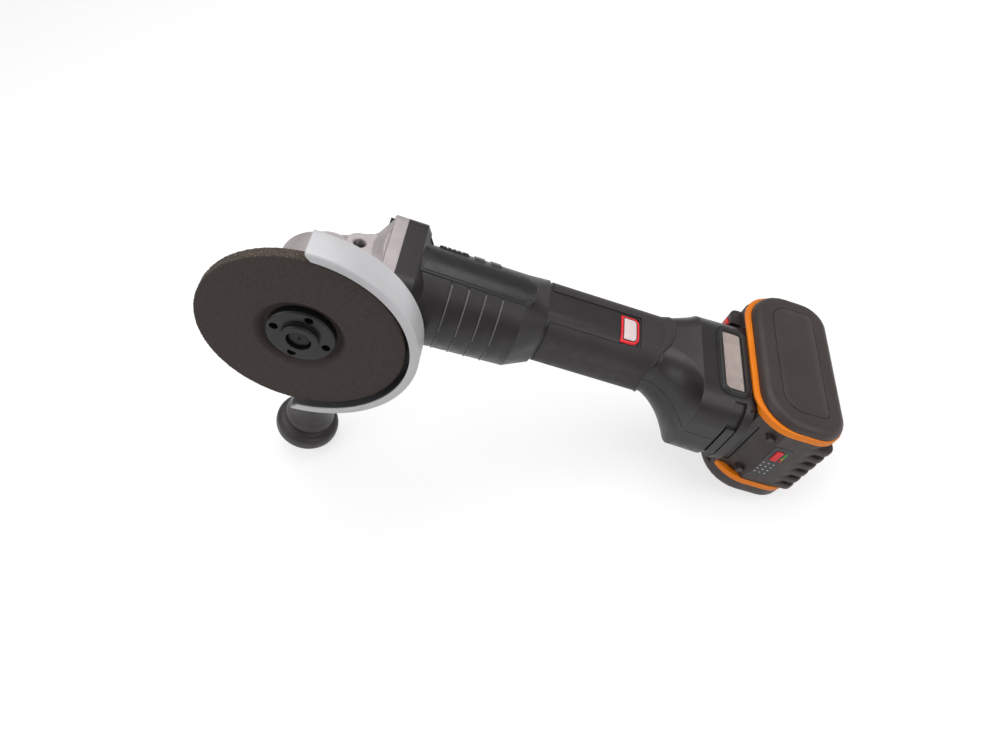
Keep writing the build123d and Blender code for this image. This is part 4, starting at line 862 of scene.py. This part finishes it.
def make_handle():
    rings = []
    for r, y in smooth_line(HANDLE_OUTLINE, HANDLE_STEPS):
        radius = max(AXIS_R, r - groove_at(y))
        ring = []
        for k in range(HANDLE_SEGMENTS):
            angle = 2 * math.pi * k / HANDLE_SEGMENTS
            ring.append(on_handle_axis(y, radius * math.cos(angle), radius * math.sin(angle), -1))
        rings.append(ring)
    build = Build()
    build.skin(rings, caps=True)
    piece = build.piece("handle_body", HANDLE, "tool", sharp=35.0)
    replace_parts(piece, "handle_grip")


make_handle()


# Soft grip: a ridged sleeve with a smooth window on each flank and a bead at its rear edge
GRIP_Z = -65.8
GRIP_HALF_W = 20.0
GRIP_HALF_H = 22.5
GRIP_CORNER = 14.0
GRIP_FLAT = GRIP_HALF_W - GRIP_CORNER
GRIP_FLANK = GRIP_HALF_H - GRIP_CORNER
GRIP_ARC = GRIP_CORNER * math.pi / 2
SLEEVE_X0 = 133.5
SLEEVE_X1 = 191.6
SLEEVE_UPPER = 29.0
SLEEVE_LOWER = 53.6
SLEEVE_T = 0.6
SLEEVE_BEAD = 0.6
SLEEVE_BEAD_FROM = 24.0
SLEEVE_BEAD_OVER = 6.0
# The bead's place and half width are shares of the sleeve's length behind the window.
SLEEVE_BEAD_AT = 0.94
SLEEVE_BEAD_HALF = 0.07
SLEEVE_SINK = -0.3
SLEEVE_REAR = [(0.0, 211.5), (22.0, 212.0), (28.0, 213.8), (36.0, 213.2), (42.0, 211.3), (54.0, 205.0),
               (66.0, 201.6), (73.0, 201.0)]
SLEEVE_ROWS = 26
SLEEVE_WAY_STEP = 1.5
SLEEVE_X_STEP = 2.0
WINDOW_LINE = [(-0.35, 0.0), (0.0, 0.08), (0.35, 0.0)]
WINDOW_LINE_OFF = 0.5
WINDOW_LINE_SHORT = 12.0
WINDOW_LINE_STEP = 3.0
SCREW_PLACES = [(156.0, -76.0), (198.0, -76.0)]
SCREW_ROOM = 4.8
SCREW_RIM = [(3.3, -1.5), (3.3, 0.9), (3.6, 1.25), (5.2, 1.25), (6.1, 0.9), (6.3, -0.6)]
SCREW_RIM_SIDES = 48
FAR_OUT = 40.0
OFF_MIDDLE = 0.05


def walk_grip(way):
    """Point (y, z) on half of the grip's section and the direction out of it.

    The way runs round the section from the tool's back to its disc side.
    """
    if way < GRIP_FLAT:
        return way, -GRIP_HALF_H, 0.0, -1.0
    way -= GRIP_FLAT
    if way < GRIP_ARC:
        turn = way / GRIP_CORNER
        out = (math.sin(turn), -math.cos(turn))
        return GRIP_FLAT + GRIP_CORNER * out[0], -GRIP_FLANK + GRIP_CORNER * out[1], *out
    way -= GRIP_ARC
    if way < 2 * GRIP_FLANK:
        return GRIP_HALF_W, way - GRIP_FLANK, 1.0, 0.0
    way -= 2 * GRIP_FLANK
    if way < GRIP_ARC:
        turn = way / GRIP_CORNER
        out = (math.cos(turn), math.sin(turn))
        return GRIP_FLAT + GRIP_CORNER * out[0], GRIP_FLANK + GRIP_CORNER * out[1], *out
    return max(0.0, GRIP_FLAT - way + GRIP_ARC), GRIP_HALF_H, 0.0, 1.0


GRIP_WAY = 2 * (GRIP_FLAT + GRIP_ARC + GRIP_FLANK)
SHELLS = {1: surface_of("grip_shell_left"), -1: surface_of("grip_shell_right")}


def on_grip(x, way, side, height):
    """Point above one half of the grip, which may be on its flared end."""
    y, z, out_y, out_z = walk_grip(way)
    inward = (0.0, -side * out_y, -out_z)
    start = (x, side * max(y + FAR_OUT * out_y, OFF_MIDDLE), GRIP_Z + z + FAR_OUT * out_z)
    return drape(SHELLS[side], start, inward, height)


def rear_edge(way):
    """Where the sleeve ends."""
    for (way0, x0), (way1, x1) in zip(SLEEVE_REAR, SLEEVE_REAR[1:]):
        if way <= way1:
            t = max(0.0, (way - way0) / (way1 - way0))
            return x0 + (x1 - x0) * t * t * (3 - 2 * t)
    return SLEEVE_REAR[-1][1]


def spaced(first, last, step):
    """Even steps from first to last."""
    count = max(1, round(abs(last - first) / step))
    return [first + (last - first) * k / count for k in range(count + 1)]


def sleeve_strip(build, side, way0, way1):
    """Strip of the sleeve along the smooth window, with its edge turned down there."""
    ways = spaced(way0, way1, SLEEVE_WAY_STEP)
    columns = [(way, SLEEVE_T) for way in ways]
    if way0 > 0:
        columns.insert(0, (way0, SLEEVE_SINK))
    if way1 < GRIP_WAY:
        columns.append((way1, SLEEVE_SINK))
    rows = [(SLEEVE_X0, SLEEVE_SINK)]
    rows += [(x, SLEEVE_T) for x in spaced(SLEEVE_X0, SLEEVE_X1, SLEEVE_X_STEP)]
    rings = []
    for x, lift in rows:
        rings.append([on_grip(x, way, side, min(rise, lift)) for way, rise in columns])
    build.skin(rings, close_ring=False)


def sleeve_end(build, side):
    """Rear part of the sleeve, behind the window."""
    ways = spaced(0.0, GRIP_WAY, SLEEVE_WAY_STEP)
    rows = [(0.0, SLEEVE_SINK, 0.0)]
    for k in range(SLEEVE_ROWS + 1):
        t = k / SLEEVE_ROWS
        off = (t - SLEEVE_BEAD_AT) / SLEEVE_BEAD_HALF
        rows.append((t, SLEEVE_T, SLEEVE_BEAD * max(0.0, 1 - off ** 2)))
    rows.append((1.0, SLEEVE_SINK, 0.0))
    rings = []
    for t, lift, bead in rows:
        ring = []
        for way in ways:
            x = SLEEVE_X1 + (rear_edge(way) - SLEEVE_X1) * t
            share = max(0.0, min(1.0, (way - SLEEVE_BEAD_FROM) / SLEEVE_BEAD_OVER))
            ring.append(on_grip(x, way, side, lift + bead * share))
        rings.append(ring)
    build.skin(rings, close_ring=False)


def window_line(build, side, way):
    """Dark line along the smooth window's edge."""
    rings = []
    for x in spaced(SLEEVE_X0, SLEEVE_X1 - WINDOW_LINE_SHORT, WINDOW_LINE_STEP):
        rings.append([on_grip(x, way + off, side, height) for off, height in WINDOW_LINE])
    build.skin(rings, close_ring=False)


def open_screw_holes(build):
    """Leave the screws of the far side free, each inside a moulded rim."""
    kept = []
    for face in build.faces:
        middle = sum((Vector(build.points[i]) for i in face), Vector()) / len(face)
        over = [math.hypot(middle.x - x, middle.z - z) < SCREW_ROOM for x, z in SCREW_PLACES]
        if middle.y > 0 or not any(over):
            kept.append(face)
    build.faces = kept
    for x, z in SCREW_PLACES:
        rings = []
        for k in range(SCREW_RIM_SIDES):
            turn = 2 * math.pi * k / SCREW_RIM_SIDES
            ring = []
            for r, h in SCREW_RIM:
                ring.append((x + r * math.cos(turn), -GRIP_HALF_W - h, z + r * math.sin(turn)))
            rings.append(ring)
        build.skin(rings, close_ring=False, close_rows=True)


def make_sleeve():
    ridged = Build()
    plain = Build()
    lines = Build()
    for side in (1, -1):
        sleeve_strip(ridged, side, 0.0, SLEEVE_UPPER)
        sleeve_strip(plain, side, SLEEVE_LOWER, GRIP_WAY)
        sleeve_end(ridged, side)
        window_line(lines, side, SLEEVE_UPPER + WINDOW_LINE_OFF)
        window_line(lines, side, SLEEVE_LOWER - WINDOW_LINE_OFF)
    open_screw_holes(ridged)
    piece = ridged.piece("grip_sleeve", SOFT, "tool", sharp=35.0)
    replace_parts(piece, "soft_grip")
    plain.piece("grip_sleeve_lower", SOFT_PLAIN, "tool", sharp=35.0)
    lines.piece("grip_lines", SEAM, "tool", sharp=50.0)


make_sleeve()

# Badge: a red plate with a pale inlay inside a dark line
BADGE_PROUD = 0.4
BADGE_ROOT = -0.7
BADGE_RIM = 1.9
INLAY_Z0 = -69.2
INLAY_Z1 = -52.6
INLAY_X0 = 180.1
INLAY_X1 = 188.2
INLAY_ROUND = 2.6
INLAY_GAP = 0.55
INLAY_LINE_H = 0.08
INLAY_H = 0.2
INLAY_EDGE = 0.15
INLAY_STEP = 0.4


def make_inlay(name, material, grow, root, top):
    """Thin plate that follows the grip's flank, rounded at its rear corners."""
    z0 = INLAY_Z0 - grow
    z1 = INLAY_Z1 + grow
    bend = INLAY_ROUND + grow
    front = INLAY_X0 - grow
    rows = []
    for z in spaced(z0, z1, INLAY_STEP):
        short = max(0.0, bend - min(z - z0, z1 - z))
        rear = INLAY_X1 + grow - (bend - math.sqrt(bend ** 2 - short ** 2))
        lift = top if z0 < z < z1 else root
        past = max(0.0, abs(z - GRIP_Z) - GRIP_FLANK)
        row = []
        for x, rise in ((front, root), (front + INLAY_EDGE, lift), (rear - INLAY_EDGE, lift), (rear, root)):
            corner = GRIP_CORNER + BADGE_PROUD + rise
            row.append((x, GRIP_FLAT + math.sqrt(corner ** 2 - past ** 2), z))
        rows.append(row)
    build = Build()
    build.skin(rows, close_ring=False)
    return build.piece(name, material, "tool", sharp=50.0)


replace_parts(make_inlay("badge_plate", RED, BADGE_RIM, BADGE_ROOT, 0.0), "side_badge")
make_inlay("badge_line", SEAM, INLAY_GAP, 0.0, INLAY_LINE_H)
make_inlay("badge_inlay", PALE, 0.0, 0.0, INLAY_H)

# Motor housing: raised bars on its back, thin ribs coloured light as painted highlights beside filled
# grooves and pads on its disc side
BAR_PLACES = [(81.2, 88.4), (91.4, 98.6)]
BAR_H = 0.8
BAR_SIDE = 0.6
BAR_FROM = 205.0
BAR_TO = 335.0
RIB_X0 = 71.0
RIB_STEP = 10.2
RIB_COUNT = 4
RIB_H = 0.5
RIB_HALF = 0.5
RIB_SIDE = 0.25
RIB_FROM = 26.0
RIB_TO = 84.0
FILL_DEPTH = 0.3
FILL_FROM = 20.5
FILL_HALF = 1.3
PAD_GAP = 0.2
PAD_SIDE = 3.0
PAD_H = 0.6
PAD_FROM = 62.0
PAD_TO = 118.0
PAD_FADE = 20.0
BAND_ROOT = -0.15
BAND_STEP = 2.0
BAND_FADE = 2.0


def barrel_point(x, turn, height):
    """Point above the motor housing's round body; turns run from the near flank over the disc side."""
    t = (x - BARREL_X0) / (BARREL_X1 - BARREL_X0)
    radius = BARREL_R0 + (BARREL_R1 - BARREL_R0) * t + height
    angle = math.radians(turn)
    middle = BARREL_Z0 + (BARREL_Z1 - BARREL_Z0) * t
    return (x, radius * math.cos(angle), middle + radius * math.sin(angle))


def band_over(build, x_heights, turn0, turn1, fade_span=BAND_FADE):
    """Band round part of the motor housing, fading out at both ends."""
    rings = []
    for turn in spaced(turn0, turn1, BAND_STEP):
        fade = min(1.0, min(turn - turn0, turn1 - turn) / fade_span)
        ring = []
        for x, height in x_heights:
            ring.append(barrel_point(x, turn, height * fade if height > 0 else height))
        rings.append(ring)
    build.skin(rings, close_ring=False)


def raised(x0, x1, side, height):
    """Section of a raised band with sloping sides."""
    return [(x0, BAND_ROOT), (x0 + side, height), (x1 - side, height), (x1, BAND_ROOT)]


def make_housing_relief():
    build = Build()
    ribs = Build()
    for x0, x1 in BAR_PLACES:
        band_over(build, raised(x0, x1, BAR_SIDE, BAR_H), BAR_FROM, BAR_TO)
    for k in range(RIB_COUNT):
        x = RIB_X0 + RIB_STEP * k
        fill = [(x - FILL_HALF, -FILL_DEPTH), (x + FILL_HALF, -FILL_DEPTH)]
        band_over(build, fill, FILL_FROM, 180 - FILL_FROM)
        edge = x + FILL_HALF - RIB_HALF
        rib = raised(edge - RIB_HALF, edge + RIB_HALF, RIB_SIDE, RIB_H)
        for turn0, turn1 in ((RIB_FROM, RIB_TO), (180 - RIB_TO, 180 - RIB_FROM)):
            band_over(ribs, rib, turn0, turn1)
    for k in range(RIB_COUNT + 1):
        x1 = RIB_X0 + RIB_STEP * k - PAD_GAP
        x0 = x1 - RIB_STEP + 2 * PAD_GAP
        band_over(build, raised(x0, x1, PAD_SIDE, PAD_H), PAD_FROM, PAD_TO, PAD_FADE)
    build.piece("housing_relief", HOUSING, "tool", sharp=30.0)
    # The ribs carry the pale painted highlight
    ribs.piece("housing_ribs", RIB_HIGHLIGHT, "tool", sharp=30.0)


make_housing_relief()

# Seam between the two half shells
SEAM_X1 = 247.0
SEAM_HALF = 0.3
SEAM_RISE = 0.06
SEAM_STEP = 1.5
SEAM_FROM = 90.0


def make_shell_seam():
    build = Build()
    for up in (1.0, -1.0):
        rings = []
        first = rear_edge(GRIP_WAY if up > 0 else 0.0)
        for x in spaced(first, SEAM_X1, SEAM_STEP):
            start = (x, OFF_MIDDLE, GRIP_Z + SEAM_FROM * up)
            z = drape(SHELLS[1], start, (0.0, 0.0, -up), 0.0)[2]
            rings.append([(x, -SEAM_HALF, z), (x, 0.0, z + SEAM_RISE * up), (x, SEAM_HALF, z)])
        build.skin(rings, close_ring=False)
    build.piece("shell_seam", SEAM, "tool")


make_shell_seam()

# Charge gauge: four lenses in a row and small round marks
GAUGE_TOP = -8.0
LENS_X = 290.4
LENS_Y0 = 3.4
LENS_STEP = 2.3
LENS_HALF_X = 0.6
LENS_HALF_Y = 1.15
LENS_CORNERS = (0.6, 0.6, 0.6, 0.6)
LENS_CORNER_STEPS = 4
LENS_PROFILE = [(0.0, -0.1), (0.0, 0.1), (0.08, 0.2), (0.2, 0.26), (0.4, 0.3)]
MARK_ROWS = [282.6, 286.0, 289.4]
MARK_Y0 = -11.6
MARK_STEP = 3.4
MARK_COUNT = 4
MARK_R = 0.55
MARK_SIDES = 20
MARK_PROFILE = [(MARK_R, -0.1), (MARK_R, 0.03), (MARK_R * 0.7, 0.08), (0.02, 0.1)]


def make_lens(name, y, material):
    """Small domed window in the gauge panel."""
    rings = []
    for inset, height in LENS_PROFILE:
        outline = rounded_ring(LENS_X - LENS_HALF_X, LENS_X + LENS_HALF_X, y - LENS_HALF_Y, y + LENS_HALF_Y,
                               LENS_CORNERS, inset, LENS_CORNER_STEPS)
        rings.append([(x, along, GAUGE_TOP + height) for x, along in outline])
    build = Build()
    build.skin(rings, caps=True)
    build.piece(name, material, "battery")


def make_gauge_marks():
    build = Build()
    for x in MARK_ROWS:
        for k in range(MARK_COUNT):
            y = MARK_Y0 + MARK_STEP * k
            rings = []
            for i in range(MARK_SIDES):
                turn = 2 * math.pi * i / MARK_SIDES
                ring = []
                for r, h in MARK_PROFILE:
                    ring.append((x + r * math.cos(turn), y + r * math.sin(turn), GAUGE_TOP + h))
                rings.append(ring)
            build.skin(rings, close_ring=False, close_rows=True)
    build.piece("gauge_marks", MARK, "battery")


for number, lens in enumerate((RED, AMBER, GREEN, GREEN)):
    make_lens("gauge_lens_" + str(number + 1), LENS_Y0 + LENS_STEP * number, lens)
make_gauge_marks()

# Floor, light and camera
FLOOR_SIZE = 6.0
FLOOR_COLOUR = (0.45, 0.45, 0.45)
FLOOR_WHITE = 0.67
WORLD_STRENGTH = 0.42
# Name, place, aim, width in metres and power in watts of each lamp
LAMPS = [
    ("key", (0.25, 0.35, 1.05), (0.12, 0.05, 0.0), 1.1, 7.5),
    ("left", (-0.75, -0.55, 0.55), (0.05, 0.0, 0.0), 0.8, 3.2),
    ("right", (0.95, -0.35, 0.5), (0.2, 0.03, 0.0), 0.7, 2.6),
]


def floor_material():
    """Matt grey that the camera, reflections and clear pieces see as nearly white."""
    material = bpy.data.materials.new("floor")
    material.use_nodes = True
    tree = material.node_tree
    tree.nodes.clear()
    path = tree.nodes.new("ShaderNodeLightPath")
    seen = path.outputs["Is Camera Ray"]
    for ray in ("Is Glossy Ray", "Is Transmission Ray"):
        either = tree.nodes.new("ShaderNodeMath")
        either.operation = "MAXIMUM"
        tree.links.new(seen, either.inputs[0])
        tree.links.new(path.outputs[ray], either.inputs[1])
        seen = either.outputs[0]
    strength = tree.nodes.new("ShaderNodeMath")
    strength.operation = "MULTIPLY"
    strength.inputs[1].default_value = FLOOR_WHITE
    tree.links.new(seen, strength.inputs[0])
    glow = tree.nodes.new("ShaderNodeEmission")
    tree.links.new(strength.outputs[0], glow.inputs["Strength"])
    matt = tree.nodes.new("ShaderNodeBsdfDiffuse")
    matt.inputs["Color"].default_value = (*FLOOR_COLOUR, 1.0)
    both = tree.nodes.new("ShaderNodeAddShader")
    tree.links.new(glow.outputs[0], both.inputs[0])
    tree.links.new(matt.outputs[0], both.inputs[1])
    out = tree.nodes.new("ShaderNodeOutputMaterial")
    tree.links.new(both.outputs[0], out.inputs["Surface"])
    return material


def make_floor():
    low = cad_box[0][2]
    half = FLOOR_SIZE / 2
    corners = [(-half, -half, low), (half, -half, low), (half, half, low), (-half, half, low)]
    mesh = bpy.data.meshes.new("floor")
    mesh.from_pydata(corners, [], [(0, 1, 2, 3)])
    mesh.materials.append(floor_material())
    floor = bpy.data.objects.new("floor", mesh)
    bpy.context.scene.collection.objects.link(floor)


def make_lights():
    world = bpy.data.worlds.new("studio")
    world.use_nodes = True
    back = world.node_tree.nodes["Background"]
    back.inputs["Color"].default_value = (1.0, 1.0, 1.0, 1.0)
    back.inputs["Strength"].default_value = WORLD_STRENGTH
    bpy.context.scene.world = world
    for name, at, aim, size, power in LAMPS:
        lamp = bpy.data.lights.new(name, "AREA")
        lamp.shape = "SQUARE"
        lamp.size = size
        lamp.energy = power
        holder = bpy.data.objects.new(name, lamp)
        holder.location = at
        holder.rotation_euler = (Vector(aim) - Vector(at)).to_track_quat("-Z", "Y").to_euler()
        bpy.context.scene.collection.objects.link(holder)


def make_camera():
    lens = bpy.data.cameras.new("camera")
    lens.lens = CAMERA_LENS
    lens.sensor_width = SENSOR_WIDTH
    lens.clip_start = CLIP_START
    holder = bpy.data.objects.new("camera", lens)
    turn = CAMERA_LOOK.to_track_quat("-Z", "Y").to_matrix().to_4x4()
    roll = Matrix.Rotation(math.radians(CAMERA_ROLL), 4, "Z")
    holder.matrix_world = Matrix.Translation(CAMERA_AT) @ turn @ roll
    bpy.context.scene.collection.objects.link(holder)
    bpy.context.scene.camera = holder


make_floor()
make_lights()
make_camera()
bpy.context.scene.view_settings.view_transform = "Standard"
